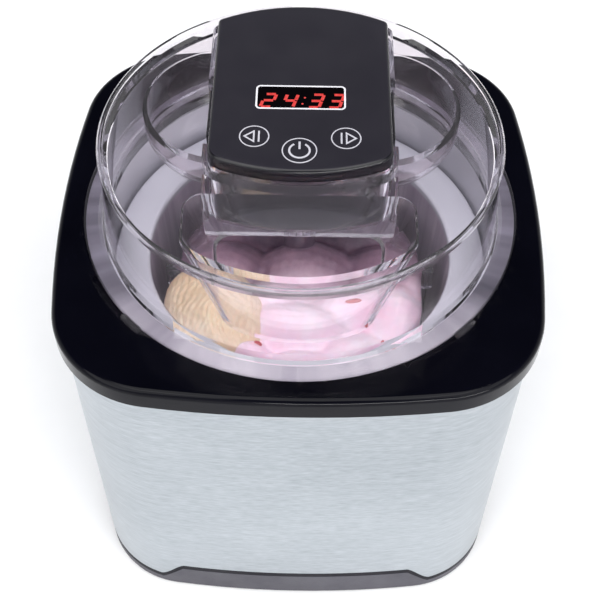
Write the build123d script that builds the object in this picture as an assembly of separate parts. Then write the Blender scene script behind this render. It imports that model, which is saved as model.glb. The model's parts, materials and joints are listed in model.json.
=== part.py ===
"""Ice cream maker with a lid-mounted geared motor, a clear lid and a lift-out freezer bowl.

Frame: millimetres, +Z up, origin on the surface that the machine stands on, below the bowl's
axis. The front, with the display's lower edge and the filling chute, faces -Y.
"""

import math
import os

from build123d import *

# ---------------------------------------------------------------- driving dimensions
# Housing
HALF_WIDTH = 117.5            # bezel, centre to the middle of a side
SIDE_ARC = 555.0              # each side of the plan is a shallow arc
CORNER_ARC = 52.0             # and each corner a large one, tangent to two sides
BEZEL_TOP = 204.7
BEZEL_BOTTOM = 192.7
BEZEL_WALL = 3.0
SHELL_INSET_TOP = 3.5         # steel sleeve, inset from the bezel's plan
SHELL_INSET_BOTTOM = 5.0
SHELL_SHEET = 0.8
SHELL_BOTTOM = 8.1
SHELL_TOP = 198.0
BASE_BOTTOM = 2.0
BASE_RIM_TOP = 8.0
BASE_WALL = 2.6
STEP_TOP = 22.0               # raised tongue of the base, front and rear
STEP_HALF_TOP = 63.0
STEP_HALF_BOTTOM = 75.0
STEP_GAP = 0.3

# Bayonet seat for the lid
OPENING_R = 100.0
LEDGE_TOP = 202.0
LEDGE_SHEET = 2.5
RECESS_R = 106.3
LUG_INNER_R = 97.3            # inward lugs of the bezel
BEZEL_LUG_HALF = 37.8         # degrees
LUG_HALF = 6.0                # degrees, outward lugs of the lid
TAB_HALF = 3.1                # degrees, visible tabs on the lid's flange
TAB_ANGLES = (45, 135, 225, 315)
TURN = 15.0                   # degrees that the lid turns to lock
TAB_R = 108.6

# Tub and freezer bowl
TUB_R_TOP = 97.4
TUB_R_BOTTOM = 89.0
TUB_FLOOR = 14.5
TUB_SHEET = 2.4
BOWL_RIM_TOP = 173.0
BOWL_RIM_R = 94.5
BOWL_OUT_TOP_R = 91.0
BOWL_OUT_BOTTOM_R = 84.0
BOWL_BOTTOM = 22.0
BOWL_IN_TOP_R = 77.0
BOWL_IN_BOTTOM_R = 71.0
BOWL_FLOOR = 48.0
CUP_SHEET = 1.3
CUP_TOP = BOWL_RIM_TOP - 4.0
BOWL_KEY_HALF = 5.0           # half width of the rib that keeps the bowl from turning

# Lid
LID_RIM_TOP = 252.1
LID_RIM_R = 94.0
LID_FOOT_R = 95.5
LID_SHEET = 2.4
DISH_TOP = 246.4
FLANGE_R = 105.7
FLANGE_BOTTOM = 203.2
FLANGE_TOP = 205.6
SKIRT_BOTTOM = 197.0
SKIRT_R = 96.6
POCKET_FLOOR = 219.2
WELL_FLOOR = 222.0
WELL_X, WELL_Y, WELL_R = 35.5, 26.5, 38.5
WELL_ROUND = 15.0
CHUTE_HALF_TOP, CHUTE_HALF_BOTTOM = 51.0, 33.0
CHUTE_BACK_Y = -34.0
CHUTE_R = 81.5
CHUTE_BOTTOM = 203.0
SHAFT_HOLE_R = 7.0

# Motor unit
UNIT_HALF = 42.0
UNIT_FRONT_Y = -31.2
UNIT_FRONT_R = 95.0
UNIT_FRONT_CORNER = 9.0
UNIT_BACK_R = 85.0
UNIT_BACK_CORNER = 3.0
UNIT_BOTTOM = 219.7
UNIT_SPLIT = 252.1
UNIT_TOP = 258.5
UNIT_WALL = 2.0
COVER_SHEET = 2.2
WINDOW_X, WINDOW_Y = 42.0, 16.4
WINDOW_CENTRE_Y = 17.0
KEYS = ((0.0, -18.0), (-21.0, -9.5), (21.0, -9.5))

# Gear train: module 1, all axes vertical and in line along +Y
MODULE = 1.0
TEETH_OUTPUT, TEETH_IDLER_SMALL, TEETH_IDLER_BIG, TEETH_PINION = 36, 12, 30, 8
IDLER_Y = MODULE * (TEETH_OUTPUT + TEETH_IDLER_SMALL) / 2
MOTOR_Y = IDLER_Y + MODULE * (TEETH_IDLER_BIG + TEETH_PINION) / 2
GEAR_LOW = (224.6, 228.8)     # z range of the output gear and the idler's small gear
GEAR_HIGH = (229.4, 232.6)    # z range of the idler's big gear and the motor pinion
PLATE_Z = (233.4, 234.6)
MOTOR_CAN_R = 25.0
MOTOR_CAN_TOP = 249.0
BOARD_Z = (250.2, 251.8)
SHAFT_R = 3.5
SHAFT_TIP_R = 2.5             # core of the shaft's driving end
WING_R = 4.4                  # its two wings, and half their thickness
WING_HALF = 1.0
SHAFT_BOTTOM = 199.0
SOCKET_R = 5.2
RUNNING = 0.05                # radial clearance of a shaft in its bearing

# Release buttons
BUTTON_Y = 15.5
BUTTON_LENGTH = 31.0
BUTTON_Z = (238.5, 249.5)
BUTTON_TRAVEL = 2.0
BUTTON_FACE_X = 44.0
NOTCH_FRONT_Y = -8.0          # the collar's finger notch reaches forward to here

# Cord gland
GLAND_Z = 238.0
GLAND_R = 4.6
GLAND_BORE_R = 3.1
GLAND_END_Y = 95.0

# Paddle
PADDLE_R = 72.0
PADDLE_HUB_R = 8.0
PADDLE_HUB_TOP = 214.5

SCREW_R = 1.5
SCREW_FIT = 0.02              # a screw's thread is drawn as a plain shank that just fits its hole


# ---------------------------------------------------------------- helpers
def turned(points):
    """Solid of revolution about Z from a closed (radius, height) outline."""
    wire = Polyline(*[(r, 0, z) for r, z in points], close=True)
    return revolve(make_face(wire), Axis.Z, 360)


def disc(radius, z0, z1, x=0.0, y=0.0):
    return Pos(x, y, z0) * extrude(Circle(radius), z1 - z0)


def block(x0, x1, y0, y1, z0, z1):
    size = (x1 - x0, y1 - y0, z1 - z0)
    centre = ((x0 + x1) / 2, (y0 + y1) / 2, (z0 + z1) / 2)
    return Pos(*centre) * Box(*size)


def ring(r_in, r_out, z0, z1):
    return Pos(0, 0, z0) * extrude(Circle(r_out) - Circle(r_in), z1 - z0)


def sector(r_in, r_out, z0, z1, centre_deg, half_deg):
    """Part of a flat ring between two angles."""
    a0, a1 = math.radians(centre_deg - half_deg), math.radians(centre_deg + half_deg)
    mid = math.radians(centre_deg)

    def at(r, a):
        return (r * math.cos(a), r * math.sin(a))

    outline = (
        ThreePointArc(at(r_out, a0), at(r_out, mid), at(r_out, a1))
        + Line(at(r_out, a1), at(r_in, a1))
        + ThreePointArc(at(r_in, a1), at(r_in, mid), at(r_in, a0))
        + Line(at(r_in, a0), at(r_out, a0))
    )
    return Pos(0, 0, z0) * extrude(make_face(outline), z1 - z0)


def plan(inset):
    """The housing's plan: four shallow side arcs and four corner arcs, moved in by inset."""
    half, side, corner = HALF_WIDTH - inset, SIDE_ARC - inset, CORNER_ARC - inset
    k = side - half
    c = (-2 * k + math.sqrt(4 * k * k - 8 * (k * k - (side - corner) ** 2))) / 4
    lean = math.atan2(c, c + k)
    joint = (side * math.cos(lean) - k, side * math.sin(lean))
    diagonal = c + corner / math.sqrt(2)
    quarter = ThreePointArc((joint[0], -joint[1]), (half, 0), joint) + ThreePointArc(
        joint, (diagonal, diagonal), (joint[1], joint[0])
    )
    outline = Curve()
    for turn in (0, 90, 180, 270):
        outline += Rot(0, 0, turn) * quarter
    return make_face(outline)


def tapered(inset0, z0, inset1, z1):
    """Prism of the housing's plan whose inset changes from z0 to z1."""
    return loft([Pos(0, 0, z0) * plan(inset0), Pos(0, 0, z1) * plan(inset1)], ruled=True)


def shell_inset(z):
    """Inset of the sleeve's outer face at a height."""
    share = (z - SHELL_BOTTOM) / (SHELL_TOP - SHELL_BOTTOM)
    return SHELL_INSET_BOTTOM + share * (SHELL_INSET_TOP - SHELL_INSET_BOTTOM)


def unit_plan(grow=0.0):
    """The motor unit's plan: straight sides, a bowed front and a back concentric with the lid."""
    half = UNIT_HALF + grow
    front = Pos(0, UNIT_FRONT_Y + UNIT_FRONT_R) * Circle(UNIT_FRONT_R + grow)
    back = Circle(UNIT_BACK_R + grow)
    outline = Rectangle(2 * half, 260) & front & back
    corners = outline.vertices().sort_by(Axis.Y)
    outline = fillet(corners[:2], UNIT_FRONT_CORNER + grow)
    corners = [v for v in outline.vertices() if v.Y > 60]
    return fillet(corners, UNIT_BACK_CORNER + grow)


def unit_prism(grow, z0, z1):
    return Pos(0, 0, z0) * extrude(unit_plan(grow), z1 - z0)


def chute_plan(half, grow=0.0):
    """The chute's plan: straight back and sides, front concentric with the lid."""
    back = CHUTE_BACK_Y + grow
    depth = CHUTE_R + 20
    box = Pos(0, back - depth / 2) * Rectangle(2 * (half + grow), depth)
    outline = box & Circle(CHUTE_R + grow)
    by_y = outline.vertices().sort_by(Axis.Y)
    outline = fillet(by_y[-2:], 8 + grow)
    by_y = outline.vertices().sort_by(Axis.Y)
    return fillet(by_y[:2], 13 + grow)


def chute_body(grow, z0, z1):
    """Funnel that narrows from the lid's top face to the level of the bezel."""
    span = DISH_TOP - CHUTE_BOTTOM

    def half_at(z):
        share = (z - CHUTE_BOTTOM) / span
        return CHUTE_HALF_BOTTOM + share * (CHUTE_HALF_TOP - CHUTE_HALF_BOTTOM)

    low = Pos(0, 0, z0) * chute_plan(half_at(z0), grow)
    high = Pos(0, 0, z1) * chute_plan(half_at(z1), grow)
    return loft([low, high], ruled=True)


def screw(x, y, head_z, tip_z, shank_r=SCREW_R, head_r=3.0, head_h=1.8):
    """Vertical pan-head screw with its head at head_z and its tip at tip_z, and a cross slot."""
    up = 1 if tip_z > head_z else -1
    head = disc(head_r, min(head_z, head_z + up * head_h), max(head_z, head_z + up * head_h), x, y)
    shank = disc(shank_r, min(head_z, tip_z), max(head_z, tip_z), x, y)
    slot_z = (min(head_z, head_z + up * 0.8), max(head_z, head_z + up * 0.8))
    cross = block(x - 1.9, x + 1.9, y - 0.35, y + 0.35, *slot_z)
    cross += block(x - 0.35, x + 0.35, y - 1.9, y + 1.9, *slot_z)
    return (head + shank) - cross


def gear(teeth, z0, z1, x=0.0, y=0.0, turn=0.0, bore=0.0):
    """Spur gear with straight-flanked teeth, slightly slim so that meshed teeth stay clear."""
    pitch_r = MODULE * teeth / 2
    root_r, tip_r = pitch_r - 1.2 * MODULE, pitch_r + 0.85 * MODULE
    step = 360 / teeth
    blank = disc(root_r, z0, z1)
    half_root, half_tip = 0.23 * step, 0.085 * step
    for i in range(teeth):
        a = turn + i * step
        corners = []
        for r, da in (
            (root_r - 0.4, -half_root),
            (tip_r, -half_tip),
            (tip_r, half_tip),
            (root_r - 0.4, half_root),
        ):
            t = math.radians(a + da)
            corners.append((r * math.cos(t), r * math.sin(t)))
        tooth = extrude(make_face(Polyline(*corners, close=True)), z1 - z0)
        blank += Pos(0, 0, z0) * tooth
    if bore:
        blank -= disc(bore, z0 - 1, z1 + 1)
    return Pos(x, y, 0) * blank


def save(name, *shapes):
    solids = [s for shape in shapes for s in shape.solids()]
    out = solids[0] if len(solids) == 1 else Compound(children=solids)
    export_step(out, f"parts/{name}.step")


# ---------------------------------------------------------------- housing
FOOT_SPOTS = [(x, y) for x in (-82, 82) for y in (-82, 82)]
BASE_SCREW_SPOTS = [(x, y) for x in (-52, 52) for y in (-52, 52)]
BEZEL_SCREW_ANGLES = (0, 90, 180, 270)
BEZEL_SCREW_R = 104.0


def step_prism(gap):
    """Trapezoid through the front and rear walls that the base's tongue fills."""
    outline = Polyline(
        (-STEP_HALF_BOTTOM + gap, 0),
        (-STEP_HALF_BOTTOM + gap, BASE_RIM_TOP),
        (-STEP_HALF_TOP + gap, STEP_TOP - gap),
        (STEP_HALF_TOP - gap, STEP_TOP - gap),
        (STEP_HALF_BOTTOM - gap, BASE_RIM_TOP),
        (STEP_HALF_BOTTOM - gap, 0),
        close=True,
    )
    face = Plane.XZ * make_face(outline)
    return extrude(face, 150, both=True)


def make_base_plate():
    inset_low, inset_high = shell_inset(BASE_BOTTOM), shell_inset(STEP_TOP)
    body = tapered(inset_low, BASE_BOTTOM, inset_high, STEP_TOP)
    body = fillet(body.edges().group_by(Axis.Z)[0], 1.5)
    inner = tapered(inset_low + BASE_WALL, BASE_BOTTOM + 2.5, inset_high + BASE_WALL, STEP_TOP + 1)
    body -= inner
    tongues = body & step_prism(STEP_GAP)
    rim = body & block(-130, 130, -130, 130, 0, BASE_RIM_TOP)
    plate = rim + tongues
    for x, y in FOOT_SPOTS:
        plate -= disc(5.0, 0, 3.4, x, y)
        plate -= disc(2.5, 3.0, 6.0, x, y)
    for x, y in BASE_SCREW_SPOTS:
        plate += disc(6.0, 3.0, 8.6, x, y)
        plate -= disc(3.4, 0, 5.6, x, y)
        plate -= disc(1.8, 4.0, 10, x, y)
    for k in range(-4, 5):
        plate -= block(-30, 30, 6.0 * k - 1.2, 6.0 * k + 1.2, 0, 6)
    return plate


def make_feet():
    feet = []
    for x, y in FOOT_SPOTS:
        pad = Pos(x, y, 0) * Cone(5.4, 6.2, 2.0, align=(Align.CENTER, Align.CENTER, Align.MIN))
        feet.append(pad + disc(4.9, 1.9, 3.3, x, y) + disc(2.45, 3.2, 5.6, x, y))
    return feet


def make_steel_shell():
    outer = tapered(shell_inset(SHELL_BOTTOM), SHELL_BOTTOM, SHELL_INSET_TOP, SHELL_TOP)
    inner = tapered(
        shell_inset(SHELL_BOTTOM) + SHELL_SHEET, SHELL_BOTTOM, SHELL_INSET_TOP + SHELL_SHEET, SHELL_TOP
    )
    return (outer - inner) - step_prism(0)


def make_bezel():
    body = Pos(0, 0, BEZEL_BOTTOM) * extrude(plan(0), BEZEL_TOP - BEZEL_BOTTOM)
    body = fillet(body.edges().group_by(Axis.Z)[-1], 3.2)
    body = fillet(body.edges().group_by(Axis.Z)[0], 0.8)
    under = Pos(0, 0, BEZEL_BOTTOM - 1) * extrude(plan(BEZEL_WALL), 1 + BEZEL_TOP - 3.2 - BEZEL_BOTTOM)
    collar = disc(OPENING_R + 2.6, BEZEL_BOTTOM - 2, BEZEL_TOP)
    body -= under - collar
    for a in BEZEL_SCREW_ANGLES:
        t = math.radians(a)
        x, y = BEZEL_SCREW_R * math.cos(t), BEZEL_SCREW_R * math.sin(t)
        body += disc(4.0, BEZEL_BOTTOM, LEDGE_TOP - 0.2, x, y)
    body -= disc(OPENING_R, BEZEL_BOTTOM - 2, BEZEL_TOP + 1)
    body -= disc(RECESS_R, LEDGE_TOP, BEZEL_TOP + 1)
    for a in TAB_ANGLES:
        start = a - TURN / 2
        body += sector(LUG_INNER_R, OPENING_R + 1, LEDGE_TOP - LEDGE_SHEET, LEDGE_TOP, a - 45, BEZEL_LUG_HALF)
        body -= sector(RECESS_R - 2, TAB_R + 0.6, FLANGE_BOTTOM - 0.4, BEZEL_TOP + 1, start, TURN / 2 + TAB_HALF + 0.5)
    for a in BEZEL_SCREW_ANGLES:
        t = math.radians(a)
        x, y = BEZEL_SCREW_R * math.cos(t), BEZEL_SCREW_R * math.sin(t)
        body -= disc(SCREW_R + SCREW_FIT, BEZEL_BOTTOM - 1, BEZEL_BOTTOM + 6.5, x, y)
    return body


def make_tub():
    top = BEZEL_BOTTOM - 0.2
    profile = [
        (0, TUB_FLOOR - TUB_SHEET),
        (TUB_R_BOTTOM + TUB_SHEET, TUB_FLOOR - TUB_SHEET),
        (TUB_R_TOP + TUB_SHEET, top - TUB_SHEET),
        (BEZEL_SCREW_R + 4.6, top - TUB_SHEET),
        (BEZEL_SCREW_R + 4.6, top),
        (TUB_R_TOP, top),
        (TUB_R_BOTTOM, TUB_FLOOR),
        (0, TUB_FLOOR),
    ]
    tub = turned(profile)
    key = block(-BOWL_KEY_HALF, BOWL_KEY_HALF, BOWL_RIM_R - 2.6, TUB_R_TOP + 0.5, 150.0, top - 4)
    tub += fillet(key.edges().filter_by(Axis.Z).group_by(Axis.Y)[0], 1.0)
    for x, y in BASE_SCREW_SPOTS:
        tub += disc(4.2, 8.7, TUB_FLOOR - 1, x, y)
        tub -= disc(SCREW_R + SCREW_FIT, 7, TUB_FLOOR - 1.2, x, y)
    for a in BEZEL_SCREW_ANGLES:
        t = math.radians(a)
        x, y = BEZEL_SCREW_R * math.cos(t), BEZEL_SCREW_R * math.sin(t)
        tub -= disc(1.8, top - 6, top + 1, x, y)
    return tub


PAD_SPOTS = [(80 * math.cos(math.radians(a)), 80 * math.sin(math.radians(a))) for a in (90, 210, 330)]


def make_support_pads():
    return [disc(5.0, TUB_FLOOR + 0.02, TUB_FLOOR + 4.2, x, y) for x, y in PAD_SPOTS]


def make_base_screws():
    return [screw(x, y, 3.7, 13.0) for x, y in BASE_SCREW_SPOTS]


def make_bezel_screws():
    screws = []
    for a in BEZEL_SCREW_ANGLES:
        t = math.radians(a)
        x, y = BEZEL_SCREW_R * math.cos(t), BEZEL_SCREW_R * math.sin(t)
        head = BEZEL_BOTTOM - 0.2 - TUB_SHEET - 1.9
        screws.append(screw(x, y, head, BEZEL_BOTTOM + 6.0))
    return screws


# ---------------------------------------------------------------- freezer bowl
def bowl_out_r(z):
    share = (z - BOWL_BOTTOM) / (BOWL_RIM_TOP - BOWL_BOTTOM)
    return BOWL_OUT_BOTTOM_R + share * (BOWL_OUT_TOP_R - BOWL_OUT_BOTTOM_R)


def bowl_in_r(z):
    share = (z - BOWL_FLOOR) / (BOWL_RIM_TOP - BOWL_FLOOR)
    return BOWL_IN_BOTTOM_R + share * (BOWL_IN_TOP_R - BOWL_IN_BOTTOM_R)


def make_outer_cup():
    cup = turned(
        [
            (0, BOWL_BOTTOM),
            (bowl_out_r(BOWL_BOTTOM), BOWL_BOTTOM),
            (bowl_out_r(CUP_TOP), CUP_TOP),
            (bowl_out_r(CUP_TOP) - CUP_SHEET, CUP_TOP),
            (bowl_out_r(BOWL_BOTTOM) - CUP_SHEET, BOWL_BOTTOM + CUP_SHEET),
            (0, BOWL_BOTTOM + CUP_SHEET),
        ]
    )
    cup += ring(77.0, 82.0, 19.2, BOWL_BOTTOM + 0.5)
    return cup - disc(8.0, BOWL_BOTTOM - 1, BOWL_BOTTOM + 2)


def make_inner_cup():
    cup = turned(
        [
            (0, BOWL_FLOOR - CUP_SHEET),
            (bowl_in_r(BOWL_FLOOR) - 8, BOWL_FLOOR - CUP_SHEET),
            (bowl_in_r(BOWL_FLOOR) + CUP_SHEET, BOWL_FLOOR + 7),
            (bowl_in_r(CUP_TOP) + CUP_SHEET, CUP_TOP),
            (bowl_in_r(CUP_TOP), CUP_TOP),
            (bowl_in_r(BOWL_FLOOR + 7), BOWL_FLOOR + 7.6),
            (bowl_in_r(BOWL_FLOOR) - 8.6, BOWL_FLOOR),
            (4.0, BOWL_FLOOR),
            (3.0, BOWL_FLOOR + 5),
            (0, BOWL_FLOOR + 5),
        ]
    )
    return cup


def make_coolant():
    top = CUP_TOP - 12.0
    gap = 0.2
    return turned(
        [
            (0, BOWL_BOTTOM + CUP_SHEET + 2.0),
            (bowl_out_r(BOWL_BOTTOM) - CUP_SHEET - gap, BOWL_BOTTOM + CUP_SHEET + 2.0),
            (bowl_out_r(top) - CUP_SHEET - gap, top),
            (bowl_in_r(top) + CUP_SHEET + gap, top),
            (bowl_in_r(BOWL_FLOOR) + CUP_SHEET + gap, BOWL_FLOOR + 7),
            (bowl_in_r(BOWL_FLOOR) - 8, BOWL_FLOOR - CUP_SHEET - gap),
            (0, BOWL_FLOOR - CUP_SHEET - gap),
        ]
    )


def make_bowl_seal():
    z0, z1 = CUP_TOP - 8.0, CUP_TOP - 4.0
    return ring(bowl_in_r(z1) + CUP_SHEET + 0.05, bowl_out_r(z0) - CUP_SHEET - 0.05, z0, z1)


def make_bowl_rim():
    inner = bowl_in_r(CUP_TOP)
    rim = ring(inner - 0.2, BOWL_RIM_R, CUP_TOP - 3.5, BOWL_RIM_TOP)
    rim = fillet(rim.edges().group_by(Axis.Z)[-1], 1.6)
    rim -= turned(
        [
            (inner - 1.5, CUP_TOP - 6),
            (inner - 1.5, CUP_TOP + 0.02),
            (inner + CUP_SHEET + 0.1, CUP_TOP + 0.02),
            (inner + CUP_SHEET + 0.1, CUP_TOP - 6),
        ]
    )
    outer = bowl_out_r(CUP_TOP)
    rim -= turned(
        [
            (outer - CUP_SHEET - 0.4, CUP_TOP - 6),
            (outer - CUP_SHEET - 0.4, CUP_TOP + 0.02),
            (outer + 0.05, CUP_TOP + 0.02),
            (outer + 0.05, CUP_TOP - 6),
        ]
    )
    slot = BOWL_KEY_HALF + 0.4
    return rim - block(-slot, slot, BOWL_RIM_R - 3.0, BOWL_RIM_R + 3, CUP_TOP - 6, BOWL_RIM_TOP + 1)


def make_fill_plug():
    return disc(7.9, BOWL_BOTTOM + 0.05, BOWL_BOTTOM + 1.9) + disc(9.5, BOWL_BOTTOM + CUP_SHEET + 0.05, BOWL_BOTTOM + 2.9)


# ---------------------------------------------------------------- paddle
def make_paddle():
    """One moulded frame: hub, top arm, two skewed side blades and a bottom bar."""
    arm_low, arm_high = BOWL_RIM_TOP - 30.0, BOWL_RIM_TOP - 17.0
    hub = disc(PADDLE_HUB_R, arm_low - 2, PADDLE_HUB_TOP)
    hub = fillet(hub.edges().group_by(Axis.Z)[-1], 1.5)
    arm = block(-PADDLE_R + 2, PADDLE_R - 2, -1.8, 1.8, arm_low, arm_high)
    foot = block(-PADDLE_R + 10, PADDLE_R - 10, -1.8, 1.8, BOWL_FLOOR + 2, BOWL_FLOOR + 16)
    body = hub + arm + foot + disc(6.5, BOWL_FLOOR + 1, BOWL_FLOOR + 16)
    for side in (1, -1):
        blade = Box(20, 3.2, arm_high - BOWL_FLOOR - 10, align=(Align.CENTER, Align.CENTER, Align.MIN))
        blade = fillet(blade.edges().filter_by(Axis.Z), 1.2)
        body += Pos(side * (PADDLE_R - 12.5), 0, BOWL_FLOOR + 9) * Rot(0, 0, 28) * blade
    body &= disc(PADDLE_R, 0, 300)
    body -= Pos(0, 0, BOWL_FLOOR) * Cone(4.3, 3.3, 5.4, align=(Align.CENTER, Align.CENTER, Align.MIN))
    body -= disc(SOCKET_R, SHAFT_BOTTOM - 1, PADDLE_HUB_TOP + 1)
    # Two ribs inside the socket: the shaft's wings reach them after part of a turn.
    for a in (90, 270):
        body += sector(SHAFT_TIP_R + 0.5, SOCKET_R + 0.3, SHAFT_BOTTOM - 1.5, PADDLE_HUB_TOP - 4, a, 20)
    return body


# ---------------------------------------------------------------- lid
def make_lid_seal():
    return ring(SKIRT_R + 0.3, FLANGE_R - 0.8, LEDGE_TOP + 0.05, FLANGE_BOTTOM - 0.05)


def make_lid():
    rim_in = LID_RIM_R - LID_SHEET - 0.2
    wall = turned(
        [
            (SKIRT_R - 2.2, SKIRT_BOTTOM),
            (SKIRT_R, SKIRT_BOTTOM),
            (SKIRT_R, FLANGE_BOTTOM),
            (FLANGE_R, FLANGE_BOTTOM),
            (FLANGE_R, FLANGE_TOP),
            (LID_FOOT_R + 3.4, FLANGE_TOP),
            (LID_FOOT_R + 1.2, FLANGE_TOP + 1.2),
            (LID_FOOT_R, FLANGE_TOP + 4.0),
            (LID_RIM_R - 0.9, LID_RIM_TOP - 3.4),
            (LID_RIM_R, LID_RIM_TOP - 2.2),
            (LID_RIM_R, LID_RIM_TOP - 0.9),
            (LID_RIM_R - 0.9, LID_RIM_TOP),
            (rim_in + 0.6, LID_RIM_TOP),
            (rim_in, LID_RIM_TOP - 0.8),
            (rim_in, DISH_TOP + 1.6),
            (rim_in - 1.6, DISH_TOP),
            (0, DISH_TOP),
            (0, DISH_TOP - 2.2),
            (rim_in - 1.8, DISH_TOP - 2.2),
            (LID_RIM_R - LID_SHEET - 1.2, DISH_TOP - 3.4),
            (LID_FOOT_R - LID_SHEET, FLANGE_TOP),
            (LID_FOOT_R - LID_SHEET + 0.4, FLANGE_BOTTOM - 1),
        ]
    )
    for a in TAB_ANGLES:
        wall += sector(FLANGE_R - 1, TAB_R, FLANGE_BOTTOM, FLANGE_TOP, a, TAB_HALF)
        wall += sector(SKIRT_R - 1, OPENING_R - 0.6, SKIRT_BOTTOM, SKIRT_BOTTOM + 2.1, a, LUG_HALF)
    pocket_out = unit_prism(2.7, POCKET_FLOOR - 2.2, LID_RIM_TOP)
    pocket_in = unit_prism(0.5, POCKET_FLOOR, LID_RIM_TOP + 5)
    body = wall + pocket_out
    cuts = pocket_in
    for side in (-1, 1):
        cup = disc(WELL_R + 2.2, WELL_FLOOR - 2.2, DISH_TOP, side * WELL_X, WELL_Y)
        body += fillet(cup.edges().group_by(Axis.Z)[0], WELL_ROUND + 2.2)
        hollow = disc(WELL_R, WELL_FLOOR, DISH_TOP + 4, side * WELL_X, WELL_Y)
        hollow = fillet(hollow.edges().group_by(Axis.Z)[0], WELL_ROUND)
        cuts += hollow - pocket_out
    body += chute_body(2.2, CHUTE_BOTTOM - 4, DISH_TOP)
    # Solid fillings between the pocket's bowed front and the chute's straight back wall.
    half = UNIT_HALF + 2.7
    body += block(-half, half, CHUTE_BACK_Y, UNIT_FRONT_Y + 11, POCKET_FLOOR - 2.2, DISH_TOP)
    cuts += chute_body(0, CHUTE_BOTTOM - 5, DISH_TOP + 1) - pocket_out
    body -= cuts
    # The chute's lower end slopes from the pocket's floor at the back to the bezel at the front.
    slope = Polyline(
        (CHUTE_BACK_Y + 2.3, POCKET_FLOOR - 0.2),
        (-CHUTE_R - 2.3, CHUTE_BOTTOM),
        (-CHUTE_R - 2.3, CHUTE_BOTTOM - 10),
        (CHUTE_BACK_Y + 2.3, CHUTE_BOTTOM - 10),
        close=True,
    )
    body -= extrude(Plane.YZ * make_face(slope), CHUTE_HALF_TOP + 5, both=True)
    # Finger notches in the collar, where the release buttons stand out.
    for side in (-1, 1):
        x0, x1 = sorted((side * (UNIT_HALF - 1), side * (UNIT_HALF + 3.5)))
        y1 = BUTTON_Y + BUTTON_LENGTH / 2 + 1.0
        body -= block(x0, x1, NOTCH_FRONT_Y, y1, BUTTON_Z[0] - 1.5, LID_RIM_TOP + 2)
    # Notch for the cord gland at the back, and the shaft's hole.
    body -= block(-GLAND_R - 0.8, GLAND_R + 0.8, UNIT_BACK_R - 3, 100, GLAND_Z, LID_RIM_TOP + 2)
    body -= Pos(0, UNIT_BACK_R - 3, GLAND_Z) * Rot(-90, 0, 0) * Cylinder(
        GLAND_R + 0.8, 20, align=(Align.CENTER, Align.CENTER, Align.MIN)
    )
    body -= disc(SHAFT_HOLE_R, POCKET_FLOOR - 5, POCKET_FLOOR + 1)
    return body


def make_shaft_bush():
    bush = ring(SHAFT_R + 1.2, SHAFT_HOLE_R - 0.05, POCKET_FLOOR - 3.4, POCKET_FLOOR)
    return bush + ring(SHAFT_R + 1.2, SHAFT_HOLE_R + 2, POCKET_FLOOR - 3.4, POCKET_FLOOR - 2.25)


# ---------------------------------------------------------------- motor unit
CASE_SCREW_SPOTS = [(-34, -14), (34, -14), (-30, 68), (30, 68)]
PLATE_SCREW_SPOTS = [(-23, -6), (23, -6), (-20, 68), (20, 68)]
MOTOR_SCREW_SPOTS = [(-30, MOTOR_Y), (30, MOTOR_Y)]


def make_cover():
    cover = unit_prism(0, UNIT_SPLIT, UNIT_TOP)
    cover = fillet(cover.edges().group_by(Axis.Z)[-1], 1.6)
    cover -= unit_prism(-UNIT_WALL, UNIT_SPLIT - 1, UNIT_TOP - COVER_SHEET)
    for x, y in CASE_SCREW_SPOTS:
        cover += disc(3.4, BOARD_Z[1] + 0.2, UNIT_TOP - COVER_SHEET + 0.2, x, y)
        cover -= disc(SCREW_R + SCREW_FIT, BOARD_Z[1] - 1, UNIT_TOP - COVER_SHEET, x, y)
    return cover - block(
        -WINDOW_X / 2,
        WINDOW_X / 2,
        WINDOW_CENTRE_Y - WINDOW_Y / 2,
        WINDOW_CENTRE_Y + WINDOW_Y / 2,
        UNIT_SPLIT,
        UNIT_TOP + 1,
    )


def make_window():
    lens = block(
        -WINDOW_X / 2 + 0.1,
        WINDOW_X / 2 - 0.1,
        WINDOW_CENTRE_Y - WINDOW_Y / 2 + 0.1,
        WINDOW_CENTRE_Y + WINDOW_Y / 2 - 0.1,
        UNIT_TOP - COVER_SHEET + 0.1,
        UNIT_TOP,
    )
    return lens


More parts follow.
